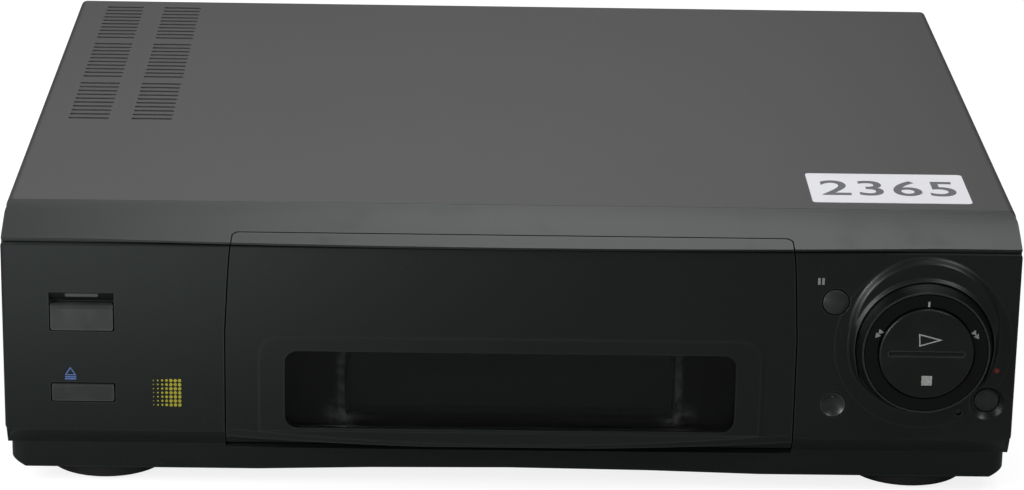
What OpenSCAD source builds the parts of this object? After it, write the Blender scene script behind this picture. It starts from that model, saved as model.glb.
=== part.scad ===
// Front loading video cassette recorder with a drop down front door and a shuttle dial.
// The origin is on the floor under the middle of the box, +Z is up and the front faces -Y.
// Inside the modules lengths along Y start at the flat front face, and heights start at the floor.

/* [Case] */
// Width over the front panel
body_w = 360; // [350:1:390]
// Height of the top of the cover above the floor
body_h = 102.2; // [101:0.1:112]
// Depth of the steel cover
cover_d = 270.8; // [262:0.1:300]
// Depth of the plastic band between the front face and the cover
band_d = 20.2; // [19:0.1:24]
// Drop of the band from the cover to its front edge
band_drop = 7.55; // [6:0.05:8.5]
// How far the band's front edge bows forwards in the middle
brow_d = 2.1; // [1:0.1:2.6]
// Width over which the band's front edge bows forwards
brow_w = 300; // [240:5:340]
// Thickness of the band's front edge
brow_t = 0.7; // [0.5:0.05:0.9]
// Height of the dark groove under the band's front edge
groove_h = 1.65; // [1.4:0.05:2]
// Depth of that groove
groove_d = 1.1; // [0.6:0.1:1.4]
// Sheet thickness of the cover
cover_t = 0.8; // [0.6:0.1:1.2]
// How far the cover's sides are set in from the face's ends
cover_inset = 0.1; // [0.1:0.1:1]
// Outer bend radius of the cover
cover_bend_r = 2.6; // [1.6:0.1:4]

/* [Front panel] */
// Thickness of the face plate
plate_t = 3; // [2.6:0.1:3.6]
// Wall of the plastic band and skirt
wall = 2.5; // [2:0.1:3]
// Height of the lower edge of the face
face_z = 22.2; // [22:0.1:23]
// Radius of the face plate's long edges
edge_r = 1.2; // [0.8:0.1:2]
// Corner radius of the face
corner_r = 2; // [1.5:0.1:3]
// Setback of the skirt under the face
skirt_y = 4.5; // [4.3:0.1:5.5]
// Height of the skirt's lower edge beside the feet
skirt_z = 6.4; // [6:0.1:7]
// Corner radius of the skirt seen from above
skirt_r = 5.5; // [4:0.5:8]

/* [Door] */
// Width of the drop down door
door_w = 202.4; // [199:0.1:204]
// Gap round the door
door_gap = 0.5; // [0.4:0.1:0.8]
// Depth of the door's upper edge on the band
door_top_d = 3.7; // [3:0.1:4.2]
// How much the door's sides draw in towards its upper edge
door_taper = 2.8; // [0:0.1:4]
// Height at which the door's sides start to draw in
door_bend_z = 60; // [50:1:70]
// Radius of the rolled lower edge
roll_r = 2.3; // [2:0.1:2.4]
// Setback of the hinge line behind the face
hinge_y = 5; // [4.8:0.1:5.2]
// Height of the hinge line
hinge_z = 18.8; // [18.6:0.1:19.2]
// Radius of the hinge pins
hinge_pin_r = 1.2; // [1:0.1:1.4]
// Width of the raised pod round the window
pod_w = 178.4; // [174:0.1:184]
// Height of the pod's top
pod_top_z = 58.7; // [57.5:0.1:62]
// Corner radius of the pod
pod_r = 7.5; // [5:0.5:10]
// How far the pod stands proud of the door
pod_proud = 0.7; // [0.4:0.1:1]
// How far the lower lip swells forwards in the middle
lip_d = 4.4; // [3:0.1:4.6]
// Width of the display window
window_w = 160.5; // [150:0.5:166]
// Height of the display window
window_h = 29.3; // [26:0.1:30]
// Height of the window's lower edge
window_z = 24.3; // [24:0.1:25.5]
// Corner radius of the window
window_r = 4.5; // [3:0.5:6]

/* [Dial] */
// Distance of the dial's centre from the end of the panel
dial_edge = 33.5; // [32:0.1:35]
// Height of the dial's centre
dial_z = 58.5; // [56:0.5:61]
// How far the play and stop rocker stands proud of the face
dial_proud = 9.6; // [8.6:0.1:11]
// Radius of the shuttle ring at its base
ring_r = 25.5; // [25:0.1:26.5]
// Radius of the index ring
index_r = 21.7; // [21.2:0.05:22.2]
// Radius of the play and stop rocker
rocker_r = 16.75; // [16:0.05:17.2]
// Radius of the tube that the dial is built on
boss_r = 18.4; // [18.2:0.1:19]
// Outer radius of the dish round the dial
dish_r = 30.5; // [29:0.5:31.5]
// Depth of the dish at the ring
dish_d = 1.6; // [1:0.1:1.8]

/* [Buttons] */
// Width of the standby and eject buttons
key_w = 22; // [18:0.5:24]
// Height of the standby button
power_h = 9.8; // [8:0.1:11]
// Height of the eject button
eject_h = 6.4; // [5:0.1:7.5]
// Radius of the pause button
pause_r = 4.5; // [3.5:0.1:5]
// Radius of the record button
record_r = 4.2; // [3.5:0.1:4.6]
// Radius of the dished timer button
timer_r = 4.5; // [3.5:0.1:4.8]
// Depth of the timer button's dish
timer_dish = 1.6; // [0.8:0.1:1.8]
// Gap round each button
key_gap = 0.5; // [0.4:0.1:0.6]
// Travel of the buttons
key_travel = 1; // [0.6:0.1:1.2]

/* [Cassette] */
// Width of a cassette
tape_w = 187; // [187:0.1:188]
// Depth of a cassette
tape_d = 103; // [102:0.1:104]
// Thickness of a cassette
tape_h = 25; // [25:0.1:25.4]
// Clear space round a cassette in its holder
tape_gap = 1; // [0.8:0.1:1.2]
// Distance between the two reels
reel_pitch = 92; // [91:0.5:93]

/* [Deck] */
// Height of the deck plate's top
deck_z = 26.5; // [26:0.1:27]
// Thickness of the deck plate
deck_t = 1.5; // [1.2:0.1:2]
// Radius of the head drum
drum_r = 31; // [30:0.5:32]
// Lean of the head drum
drum_tilt = 6; // [0:0.5:6]
// Length of the lift arms between their pins
arm_l = 33.7; // [32:0.1:34.5]
// Radius of the guide carriages' track
track_r = 47; // [45:0.5:49]
// Tooth size of the loading gears
gear_m = 0.8; // [0.7:0.05:0.85]
// Number of teeth on the cam gear
cam_teeth = 44; // [40:2:48]
// Number of teeth on the motor pinion
pinion_teeth = 11; // [10:1:12]

/* [Cover vents] */
// Number of vent slots in a block
slot_n = 10; // [6:1:10]
// Length of a vent slot
slot_l = 15.7; // [10:0.1:18]
// Width of a vent slot
slot_w = 2.2; // [1.4:0.1:3]
// Distance between vent slots
slot_pitch = 5.24; // [4.6:0.02:5.3]
// Distance between vent blocks
block_pitch = 57; // [54:0.5:58]
// Distance of the rearmost vent slot from the back
vent_back = 9.8; // [8:0.1:16]

/* [Feet] */
// Radius of a foot
foot_r = 23; // [18:0.5:25]
// Distance of the feet's centres from the sides
foot_edge = 34; // [30:1:40]
// Distance of the front feet behind the face
foot_y = 30; // [30:1:40]

/* [Hidden] */
$fn = 64;

back_y = band_d + cover_d;
screw_h = 1.4;
face_y = dial_proud - (dial_proud + back_y + screw_h) / 2;
half_w = body_w / 2;
band_z = body_h - band_drop;
rim_z = band_z - groove_h;
brow_slope = 1.17 * band_drop / band_d;
brow_r = (pow(brow_w / 2, 2) + brow_d * brow_d) / (2 * brow_d);
chamfer_y = 3;
chamfer_z = 18.3;
sole_z = 16;
cover_x = half_w - cover_inset;
band_x = cover_x - 0.3;
seam_gap = 0.4;
side_screw_y = [70, 236];
side_screw_z = 24;
rear_screw_x = [-140, 0, 140];
rear_screw_z = body_h - 5;
fit_gap = 0.3;
run_gap = 0.06;

door_x = door_w / 2;
gate_x = door_x + door_gap;
door_rim_x = door_x - door_taper;
door_t = 2.6;
sill_z = hinge_z - roll_r - 0.8;
window_top_z = window_z + window_h;
lip_z = face_z - 3.2;
pod_x = pod_w / 2;

floor_t = 1.2;
floor_z = 8.5;
tray_x = cover_x - cover_t - fit_gap;
board_t = 1.6;
board_z = 11.5;
board_top_z = board_z + board_t;
foot_x = half_w - foot_edge;
post_y = [28, 240];
av_x = [76, 128];
av_z = 37;
av_w = 46.4;
av_h = 12.4;
power_x = -half_w + 38;
mains_x = power_x + 2;
mains_z = 36;
aerial_x = 20;
aerial_z = [34, 52];
phono_x = -30;
phono_z = [30, 48];

slot_x = (tape_w + 2 * tape_gap) / 2;
holder_z = 60;
holder_t = 1;
holder_h = tape_h + 3 * tape_gap;
holder_top_z = holder_z + holder_h;
holder_y = 22;
holder_x = slot_x + holder_t;
arm_t = 1.5;
arm_x = holder_x + 2;
bracket_x = arm_x + arm_t + 2;
bracket_t = 1.2;
pivot_z = deck_z + 4.5;
pin_z = pivot_z + arm_l;
pin_r = 1.9;
front_arm_y = 45;
rear_arm_y = 100;

fascia_y = 9;
fascia_t = 2;
fascia_back = fascia_y + fascia_t;
flap_z = holder_top_z + 1.2;
flap_y = fascia_back + 2.2;
flap_h = tape_h + 5;
flap_x = slot_x - 1.5;

deck_bottom_z = deck_z - deck_t;
deck_x = bracket_x + 7;
post_x = [-deck_x + 4, deck_x - 4];
reel_y = 95;
drum_y = 190;
drum_z = deck_z + 5;
drum_half_h = 15;
capstan_x = 66;
capstan_y = 163;
capstan_r = 1.5;
roller_r = 6.5;
pinch_x = 92;
pinch_y = 172;
pinch_rest = 172;
pinch_l = 19.9;
guide_angle = 20;
cam_x = -72;
cam_y = 208;
cam_r = gear_m * cam_teeth / 2;
pinion_r = gear_m * pinion_teeth / 2;
gear_space = cam_r + pinion_r + 0.25;
motor_dir = 150;

dial_x = half_w - dial_edge;
key_x = -half_w + 28.1;
power_z = rim_z - 32.7;
eject_z = 33.6;
pause_x = gate_x + 12.9;
pause_z = rim_z - 18.8;
timer_x = gate_x + 13.5;
timer_z = 35.3;
record_x = half_w - 9.6;
record_z = 37.2;
lamp_x = record_x - 10;
lamp_z = 32.8;
switch_y = 9;
switch_h = 2.4;
right_board_y = 12;
dish_ball_r = (pow(timer_r - 0.2, 2) + timer_dish * timer_dish) / (2 * timer_dish);
rocker_y = -3;
rocker_pin_r = 1;

module from_face() translate([0, face_y, 0]) children();
module along_x(x0, x1) translate([x0, 0, 0]) rotate([90, 0, 90]) linear_extrude(x1 - x0) children();
module along_y(y0, y1) translate([0, y1, 0]) rotate([90, 0, 0]) linear_extrude(y1 - y0) children();
module along_z(z0, z1) translate([0, 0, z0]) linear_extrude(z1 - z0) children();
module block(x0, x1, y0, y1, z0, z1) translate([x0, y0, z0]) cube([x1 - x0, y1 - y0, z1 - z0]);
module rod_x(x0, x1, y, z, r) translate([x0, y, z]) rotate([0, 90, 0]) cylinder(r = r, h = x1 - x0);
module rod_y(x, y0, y1, z, r) translate([x, y0, z]) rotate([-90, 0, 0]) cylinder(r = r, h = y1 - y0);
module rod_z(x, y, z0, z1, r) translate([x, y, z0]) cylinder(r = r, h = z1 - z0);
module both_sides() {
    children();
    mirror([1, 0, 0]) children();
}
module rounded_rect(w, h, r) {
    square([w - 2 * r, h], center = true);
    square([w, h - 2 * r], center = true);
    for (sx = [-1, 1], sy = [-1, 1])
        translate([sx * (w / 2 - r), sy * (h / 2 - r)]) circle(r);
}
// Rectangle from x0 to x1 and z0 to z1 with round corners
module rounded_span(x0, x1, z0, z1, r)
    translate([(x0 + x1) / 2, (z0 + z1) / 2]) rounded_rect(x1 - x0, z1 - z0, r);
// Turned shape about an axis along Y through the dial's centre, drawn as radius and depth
module dial_turn()
    translate([dial_x, 0, dial_z]) rotate([-90, 0, 0]) rotate_extrude($fn = 96) children();

// Front panel

// Gentle crown of the band between the rim and the cover, as depth and height
function band_curve(z_low, z_high, y0, n = 8) = [
    for (i = [0:n]) let (t = i / n)
        [y0 + (band_d - y0) * t, z_low + (z_high - z_low) * (0.7 * t + 0.3 * sin(90 * t))]
];
module face_plate()
    intersection() {
        along_y(-1, plate_t) rounded_span(-half_w, half_w, face_z, rim_z, corner_r);
        along_x(-half_w, half_w) {
            translate([0, face_z]) square([plate_t, rim_z - edge_r - face_z]);
            translate([edge_r, rim_z - edge_r]) circle(edge_r);
            translate([edge_r, face_z]) square([plate_t - edge_r, rim_z - face_z]);
        }
        along_z(0, body_h) {
            for (s = [-1, 1]) translate([s * (half_w - edge_r), edge_r]) circle(edge_r);
            translate([-half_w + edge_r, 0]) square([body_w - 2 * edge_r, plate_t]);
            translate([-half_w, edge_r]) square([body_w, plate_t - edge_r]);
        }
    }
// Plan of the band, whose front edge bows forwards in the middle
module brow_plan() {
    translate([-half_w, 0]) square([body_w, band_d]);
    intersection() {
        translate([-brow_w / 2, -brow_d - 1]) square([brow_w, brow_d + 2]);
        translate([0, brow_r - brow_d]) circle(brow_r, $fn = 720);
    }
}
// Band and the upper part of the skirt, with the groove between the band and the face
module band_outside()
    intersection() {
        along_x(-band_x, band_x)
            polygon(concat(
                [[band_d, sole_z], [skirt_y, sole_z], [chamfer_y, chamfer_z], [groove_d, face_z],
                    [groove_d, band_z - brow_t + brow_slope * groove_d],
                    [-brow_d, band_z - brow_t - brow_slope * brow_d], [-brow_d, band_z - brow_slope * brow_d]],
                band_curve(band_z, body_h, 0)));
        along_y(-brow_d - 1, band_d) rounded_span(-band_x, band_x, 0, body_h, cover_bend_r);
        along_z(0, body_h) brow_plan();
    }
module band_inside()
    intersection() {
        along_x(-band_x + wall, band_x - wall)
            polygon(concat(
                [[band_d + 1, sole_z], [skirt_y + wall, sole_z], [chamfer_y + wall, chamfer_z], [plate_t, face_z],
                    [plate_t, band_z - wall]],
                band_curve(band_z - wall, body_h - wall, plate_t),
                [[band_d + 1, body_h - wall]]));
        along_y(-1, band_d + 1) rounded_span(-band_x + wall, band_x - wall, 0, body_h - wall, cover_bend_r);
    }
module chamfer_strip()
    intersection() {
        along_x(-half_w + 0.6, half_w - 0.6)
            polygon([[0.02, face_z + 0.5], [0.02, face_z], [chamfer_y, chamfer_z], [skirt_y, sole_z], [band_d, sole_z],
                [band_d, face_z + 0.5]]);
        along_z(0, face_z + 1) translate([0, band_d]) rounded_rect(body_w - 1.2, 2 * band_d, skirt_r);
    }
// Skirt seen from above, with its rounded front corners
module skirt_plan(inset)
    intersection() {
        translate([0, band_d + skirt_r])
            rounded_rect(2 * (band_x - 0.8 - inset), 2 * (band_d + skirt_r - skirt_y - inset), skirt_r - inset);
        translate([-half_w, 0]) square([body_w, band_d]);
    }
// Lower edge of the skirt, a little higher at the corners and in the middle
module skirt_front()
    polygon([[-half_w, skirt_z + 3.4], [-half_w + skirt_r + 1, skirt_z], [-half_w + 90, skirt_z],
        [-half_w + 130, skirt_z + 1], [0, skirt_z + 1.5], [half_w - 130, skirt_z + 1], [half_w - 90, skirt_z],
        [half_w - skirt_r - 1, skirt_z], [half_w, skirt_z + 3.4], [half_w, 17], [-half_w, 17]]);
module skirt_shell()
    intersection() {
        difference() {
            along_z(0, 17) skirt_plan(0);
            along_z(-1, 18) skirt_plan(wall);
            block(-band_x + 4, band_x - 4, band_d - 4, band_d + 1, -1, 18);
        }
        along_y(0, band_d) skirt_front();
    }
// How far the door's sides are drawn in at a height
function door_side(z) = let (t = (z - door_bend_z) / (band_z + 1.4 - door_bend_z)) door_taper * (0.7 * t + 0.3 * pow(t, 8));
// Front view of the door, widened by grow
module door_outline(grow)
    polygon(concat(
        [[door_x + grow, 0]],
        [for (i = [0:9]) let (z = door_bend_z + i * (band_z + 1.4 - door_bend_z) / 9) [door_x + grow - door_side(z), z]],
        [[door_rim_x + grow, body_h + 6], [-door_rim_x - grow, body_h + 6]],
        [for (i = [9:-1:0]) let (z = door_bend_z + i * (band_z + 1.4 - door_bend_z) / 9) [-door_x - grow + door_side(z), z]],
        [[-door_x - grow, 0]]));
// Plan of the door's upper edge on the band, with round rear corners
module door_brim(half, y_front, y_plate, y_back, r) {
    translate([-half - door_taper, y_front]) square([2 * (half + door_taper), y_plate - y_front]);
    translate([-half, y_front]) square([2 * half, y_back - r - y_front]);
    translate([-half + r, y_front]) square([2 * (half - r), y_back - y_front]);
    for (s = [-1, 1]) translate([s * (half - r), y_back - r]) circle(r);
}
// Everything in front of the seam that the door takes out of the panel
module door_space()
    intersection() {
        union() {
            along_z(hinge_z + 70, body_h + 5)
                door_brim(door_rim_x + door_gap, -12, plate_t + 0.1, door_top_d + door_gap, 2.5);
            along_x(-gate_x, gate_x)
                polygon([[-12, sill_z - 1.2], [skirt_y, sill_z - 1.2], [skirt_y + 1.2, sill_z], [skirt_y + 9, sill_z],
                    [skirt_y + 9, hinge_z + 71], [-12, hinge_z + 71]]);
        }
        along_y(-13, skirt_y + 10) door_outline(door_gap);
    }
module key_hole(x, z0, h)
    along_y(-1, plate_t + 1) rounded_span(x - key_w / 2 - key_gap, x + key_w / 2 + key_gap,
        z0 - key_gap, z0 + h + key_gap, 1);
module light_bar(grow)
    rounded_span(key_x - 5.8 - grow, key_x + 5.8 + grow, power_z + power_h + 2.4 - grow,
        power_z + power_h + 3.6 + grow, 0.5);
module power_slope()
    along_x(key_x - key_w / 2 - key_gap, key_x + key_w / 2 + key_gap)
        polygon([[-1, power_z + power_h], [2.2, power_z + power_h], [2.2, power_z + power_h + 0.6],
            [0.4, power_z + power_h + 4.1], [-1, power_z + power_h + 4.6]]);
module dial_dish()
    dial_turn() polygon(concat([[0, -1], [dish_r, -1]],
        [for (i = [0:6]) let (a = i * 15) [dish_r - (dish_r - ring_r - 0.5) * sin(a), dish_d * (1 - cos(a))]],
        [[0, dish_d]]));
// Tube that the shuttle ring turns on and that carries the index ring
module dial_boss()
    union() {
        dial_turn() translate([rocker_r + 0.3, -dial_proud + 3.2]) square([boss_r - rocker_r - 0.3, dial_proud - 1]);
        // Inward pins that the rocker tilts on
        rod_x(dial_x + rocker_r - 2.4, dial_x + boss_r - 0.6, rocker_y, dial_z, rocker_pin_r);
        rod_x(dial_x - boss_r + 0.6, dial_x - rocker_r + 2.4, rocker_y, dial_z, rocker_pin_r);
    }
module front_bezel()
    color([0.1, 0.11, 0.11]) from_face() {
        difference() {
            union() {
                face_plate();
                difference() {
                    union() {
                        band_outside();
                        chamfer_strip();
                    }
                    band_inside();
                    block(-band_x + wall, band_x - wall, skirt_y + wall, band_d + 1, 10, 30);
                }
                skirt_shell();
                // Tongue that steps down under the cover
                difference() {
                    band_tongue(0);
                    band_tongue(1.4);
                }
                // Ears with the door's hinge holes
                both_sides() block(gate_x, gate_x + 4.5, skirt_y + 0.1, hinge_y + 3, hinge_z - 2.8, hinge_z + 4);
            }
            door_space();
            rod_x(-gate_x - 5, gate_x + 5, hinge_y, hinge_z, hinge_pin_r + run_gap);
            key_hole(key_x, power_z, power_h);
            power_slope();
            key_hole(key_x, eject_z, eject_h);
            rod_y(pause_x, -1, plate_t + 1, pause_z, pause_r + key_gap);
            rod_y(timer_x, -1, plate_t + 1, timer_z, timer_r + fit_gap);
            rod_y(record_x, -1, plate_t + 1, record_z, record_r + key_gap);
            translate([record_x, -6.2, record_z - 0.7]) sphere(8.8);
            rod_y(lamp_x, -1, plate_t + 1, lamp_z, 1.1);
            along_y(-1, plate_t + 1) light_bar(0.1);
            dial_dish();
            rod_y(dial_x, -1, plate_t + 1, dial_z, rocker_r + 0.3);
        }
        dial_boss();
        // Screw posts for the inner fascia
        both_sides() for (z = [30, 84])
            rod_y(gate_x + 4, plate_t, fascia_y, z, 2.6);
    }
module band_tongue(inset)
    along_y(band_d - 3, band_d + 7 + inset)
        rounded_span(-cover_x + cover_t + fit_gap + inset, cover_x - cover_t - fit_gap - inset,
            17 - inset, body_h - cover_t - fit_gap - inset, 2);

module inner_fascia()
    color([0.06, 0.06, 0.065]) from_face() {
        difference() {
            block(-gate_x - 7, gate_x + 7, fascia_y, fascia_back, 12, band_z - wall - 0.6);
            along_y(0, fascia_back + 1) rounded_span(-slot_x, slot_x, holder_z - 1, flap_z - 2.4, 2);
            along_y(0, fascia_back + 1) rounded_span(-59, 59, window_z + 2.2, window_top_z - 1.6, 2);
        }
        // Raised frame round the display
        difference() {
            along_y(fascia_y - 1.8, fascia_y) rounded_span(-61.5, 61.5, window_z + 0.8, window_top_z - 0.2, 3);
            along_y(0, fascia_y + 1) rounded_span(-59, 59, window_z + 2.2, window_top_z - 1.6, 2);
        }
        // Ears that carry the cassette flap
        both_sides() difference() {
            block(flap_x + 0.6, flap_x + 3.2, fascia_back, flap_y + 3, flap_z - 3, flap_z + 2);
            rod_x(flap_x, flap_x + 4, flap_y, flap_z, 1 + run_gap);
        }
        // Pegs that hold the display board
        for (x = [-66, 66], z = [window_z + 3, window_top_z - 4])
            rod_y(x, fascia_back, 18, z, 2);
    }

// Door

module pod_outline(grow)
    intersection() {
        rounded_span(-pod_x - grow, pod_x + grow, hinge_z - 20, pod_top_z + grow, pod_r);
        translate([-pod_x - grow, face_z]) square([pod_w + 2 * grow, 60]);
    }
module window_outline(inset)
    rounded_span(-window_w / 2 + inset, window_w / 2 - inset, window_z + inset, window_top_z - inset, window_r - inset);
// Lip that swells forwards under the window, flush with the door at its ends
module door_lip()
    intersection() {
        along_x(-door_x, door_x)
            polygon([[1, face_z + 1.4], [-pod_proud, face_z + 1], [-lip_d * 0.6, lip_z + 2.5], [-lip_d, lip_z + 1],
                [-lip_d, lip_z + 0.4], [-lip_d + 0.4, lip_z], [0, lip_z + 1.6], [1.4, lip_z + 1.6]]);
        along_z(sole_z, face_z + 3) translate([0, (door_x * door_x - lip_d * lip_d) / (2 * lip_d)])
            circle(r = (door_x * door_x + lip_d * lip_d) / (2 * lip_d), $fn = 720);
    }
module door_panel()
    color([0.1, 0.11, 0.11]) from_face() difference() {
        union() {
            intersection() {
                union() {
                    intersection() {
                        union() {
                            face_plate();
                            band_outside();
                        }
                        along_z(hinge_z + 65, body_h) door_brim(door_rim_x, -brow_d - 1, door_t, door_top_d, 2.2);
                    }
                    along_x(-door_x, door_x) {
                        polygon([[0, face_z], [chamfer_y, chamfer_z], [hinge_y, hinge_z], [hinge_y, hinge_z + roll_r],
                            [door_t, hinge_z + roll_r], [door_t, hinge_z + 66], [0, hinge_z + 66]]);
                        translate([hinge_y, hinge_z]) circle(roll_r);
                    }
                }
                along_y(-brow_d - 1, hinge_y + roll_r + 1) door_outline(0);
            }
            along_y(-pod_proud / 2, 1) pod_outline(0.5);
            along_y(-pod_proud, 1) pod_outline(0);
            door_lip();
            rod_x(-gate_x - 3.6, gate_x + 3.6, hinge_y, hinge_z, hinge_pin_r);
            // Stiffening ribs on the inside
            for (x = [-door_x + 4, door_x - 5])
                block(x, x + 1, 1, 5.5, hinge_z + 1, hinge_z + 70);
            block(-door_x + 4, door_x - 4, 1, 5.5, window_top_z + 8, window_top_z + 9);
        }
        along_y(-2, door_t + 1) window_outline(0);
    }
module door_window()
    color([0.03, 0.04, 0.04, 0.6]) from_face() {
        along_y(0.4, door_t) window_outline(0.15);
        along_y(door_t, door_t + 1.5) rounded_span(-window_w / 2 - 3, window_w / 2 + 3,
            hinge_z + roll_r + 0.4, window_top_z + 3, 2);
    }
module cassette_flap()
    color([0.05, 0.05, 0.055]) from_face() {
        difference() {
            block(-flap_x, flap_x, flap_y - 0.9, flap_y + 0.6, flap_z - flap_h, flap_z);
            for (x = [-60:40:60]) block(x, x + 24, flap_y - 2, flap_y - 0.4, flap_z - flap_h + 4, flap_z - 8);
        }
        rod_x(-flap_x, flap_x, flap_y, flap_z, 1.6);
        rod_x(-flap_x - 3, flap_x + 3, flap_y, flap_z, 1);
        block(-flap_x + 8, flap_x - 8, flap_y - 0.9, flap_y + 2.6, flap_z - flap_h, flap_z - flap_h + 1.2);
    }

// Buttons and dial

module key_cap(z0, h, crown)
    color([0.12, 0.13, 0.13]) from_face() {
        intersection() {
            along_y(-1, plate_t + 0.6) rounded_span(key_x - key_w / 2, key_x + key_w / 2, z0, z0 + h, 0.8);
            along_x(key_x - key_w / 2, key_x + key_w / 2) {
                translate([-0.4, z0]) square([plate_t + 1, h - crown]);
                translate([-0.4 + crown, z0 + h - crown]) circle(crown);
                translate([-0.4 + crown, z0]) square([plate_t + 1 - crown, h]);
            }
        }
        // Retaining flange and the stem to the switch
        block(key_x - key_w / 2 - 1.5, key_x + key_w / 2 + 1.5, plate_t + fit_gap, plate_t + fit_gap + 0.8,
            z0 - 1.5, z0 + h + 1.5);
        rod_y(key_x, plate_t, switch_y - switch_h - key_travel - fit_gap, z0 + h / 2, 1.8);
    }
module power_button() key_cap(power_z, power_h, 2);
module eject_button() key_cap(eject_z, eject_h, 1);
// Flange and stem behind a round button
module button_stem(x, z, r) {
    rod_y(x, plate_t - 1, plate_t + fit_gap + 0.1, z, r);
    rod_y(x, plate_t + fit_gap, plate_t + fit_gap + 0.8, z, r + 1.2);
    rod_y(x, plate_t, right_board_y - switch_h - key_travel - fit_gap, z, 1.8);
}
module domed_button(x, z, r, front_y)
    color([0.12, 0.13, 0.13]) from_face() {
        intersection() {
            translate([x, front_y + r * 2.4, z]) sphere(r * 2.4);
            rod_y(x, front_y - 1, plate_t, z, r);
        }
        button_stem(x, z, r);
    }
module pause_button() domed_button(pause_x, pause_z, pause_r, -1);
module record_button() domed_button(record_x, record_z, record_r, 0.4);
// Flush button with a round hollow for the fingertip and a nib at its top
module timer_button()
    color([0.12, 0.13, 0.13]) from_face() {
        difference() {
            rod_y(timer_x, 0, plate_t, timer_z, timer_r);
            translate([timer_x, timer_dish - dish_ball_r, timer_z]) sphere(dish_ball_r);
        }
        rod_y(timer_x, 0.4, 2, timer_z + timer_r - 1.5, 0.45);
        button_stem(timer_x, timer_z, timer_r);
    }
module indicator_lenses()
    color([0.75, 0.78, 0.78]) from_face() {
        rod_y(lamp_x, 1.2, plate_t + 1, lamp_z, 1.05);
        rod_y(lamp_x, plate_t, plate_t + 1, lamp_z, 2.2);
        along_y(0.9, plate_t + 1) light_bar(0);
        along_y(plate_t, plate_t + 1) light_bar(0.5);
    }
module shuttle_ring()
    color([0.13, 0.14, 0.14]) from_face() difference() {
        dial_turn() polygon(concat(
            [[boss_r + run_gap, -dial_proud + 3.6], [index_r + 0.35, -dial_proud + 3.6],
                [index_r + 0.35, -dial_proud + 1.3], [index_r + 0.9, -dial_proud + 1.3]],
            [for (i = [1:6]) let (a = i * 15)
                [index_r + 0.9 + (ring_r - index_r - 0.9) * (0.55 * (1 - cos(a)) + 0.45 * i / 6),
                    -dial_proud + 1.3 + (dial_proud - 2.6) * (0.6 * sin(a) + 0.4 * i / 6)]],
            [[ring_r, dish_d - 0.5], [boss_r + run_gap, dish_d - 0.5]]));
        // Finger hollows at both sides
        for (a = [10, 170])
            translate([dial_x + (ring_r + 9.6) * cos(a), -dial_proud / 2 - 2.6, dial_z + (ring_r + 9.6) * sin(a)])
                sphere(12);
    }
module index_ring()
    color([0.03, 0.03, 0.035]) from_face() dial_turn() {
        translate([rocker_r + 0.6, -dial_proud + 1.2]) square([index_r - rocker_r - 0.6, 2]);
    }
module play_stop_rocker()
    color([0.14, 0.15, 0.15]) from_face() {
        difference() {
            dial_turn() polygon(concat([[0, -dial_proud]],
                [for (i = [0:4]) let (a = i * 22.5) [rocker_r - 0.8 + 0.8 * sin(a), -dial_proud + 0.8 * (1 - cos(a))]],
                [[rocker_r, -dial_proud + 2.2], [rocker_r - 1.3, -dial_proud + 2.2], [rocker_r - 1.3, rocker_y + 2.2],
                    [rocker_r - 2.8, rocker_y + 2.2], [rocker_r - 2.8, -dial_proud + 2], [0, -dial_proud + 2]]));
            along_y(-dial_proud - 1, -dial_proud + 0.7)
                rounded_span(dial_x - 13.5, dial_x + 13.5, dial_z - 0.9, dial_z + 0.9, 0.85);
            rod_x(dial_x - rocker_r, dial_x + rocker_r, rocker_y, dial_z, rocker_pin_r + run_gap);
        }
        for (s = [-1, 1])
            rod_y(dial_x, -dial_proud + 1.5, right_board_y - switch_h - 1, dial_z + s * 10, 1.6);
    }

// Case

module vent_block()
    for (i = [0:slot_n - 1])
        translate([0, i * slot_pitch]) rounded_rect(slot_l, slot_w, slot_w / 2 - 0.05);
module top_cover()
    color([0.22, 0.22, 0.225]) from_face() difference() {
        union() {
            difference() {
                along_y(band_d + seam_gap, back_y) rounded_span(-cover_x, cover_x, -20, body_h, cover_bend_r);
                along_y(band_d, back_y + 1) rounded_span(-cover_x + cover_t, cover_x - cover_t, -21,
                    body_h - cover_t, cover_bend_r - cover_t);
                block(-half_w, half_w, band_d, back_y + 1, -30, 10.5);
            }
            // Folded lip over the rear panel
            block(-cover_x + 3, cover_x - 3, back_y - cover_t, back_y, body_h - 8, body_h - cover_t / 2);
        }
        for (x = [19.8, 43.8], b = [0:2])
            along_z(body_h - 3, body_h + 1)
                translate([x - half_w, back_y - vent_back - slot_pitch * (slot_n - 1) - b * block_pitch]) vent_block();
        for (y = side_screw_y) rod_x(-half_w - 1, half_w + 1, y, side_screw_z, 1.7);
        for (x = rear_screw_x) rod_y(x, back_y - 3, back_y + 1, rear_screw_z, 1.7);
    }
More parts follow.
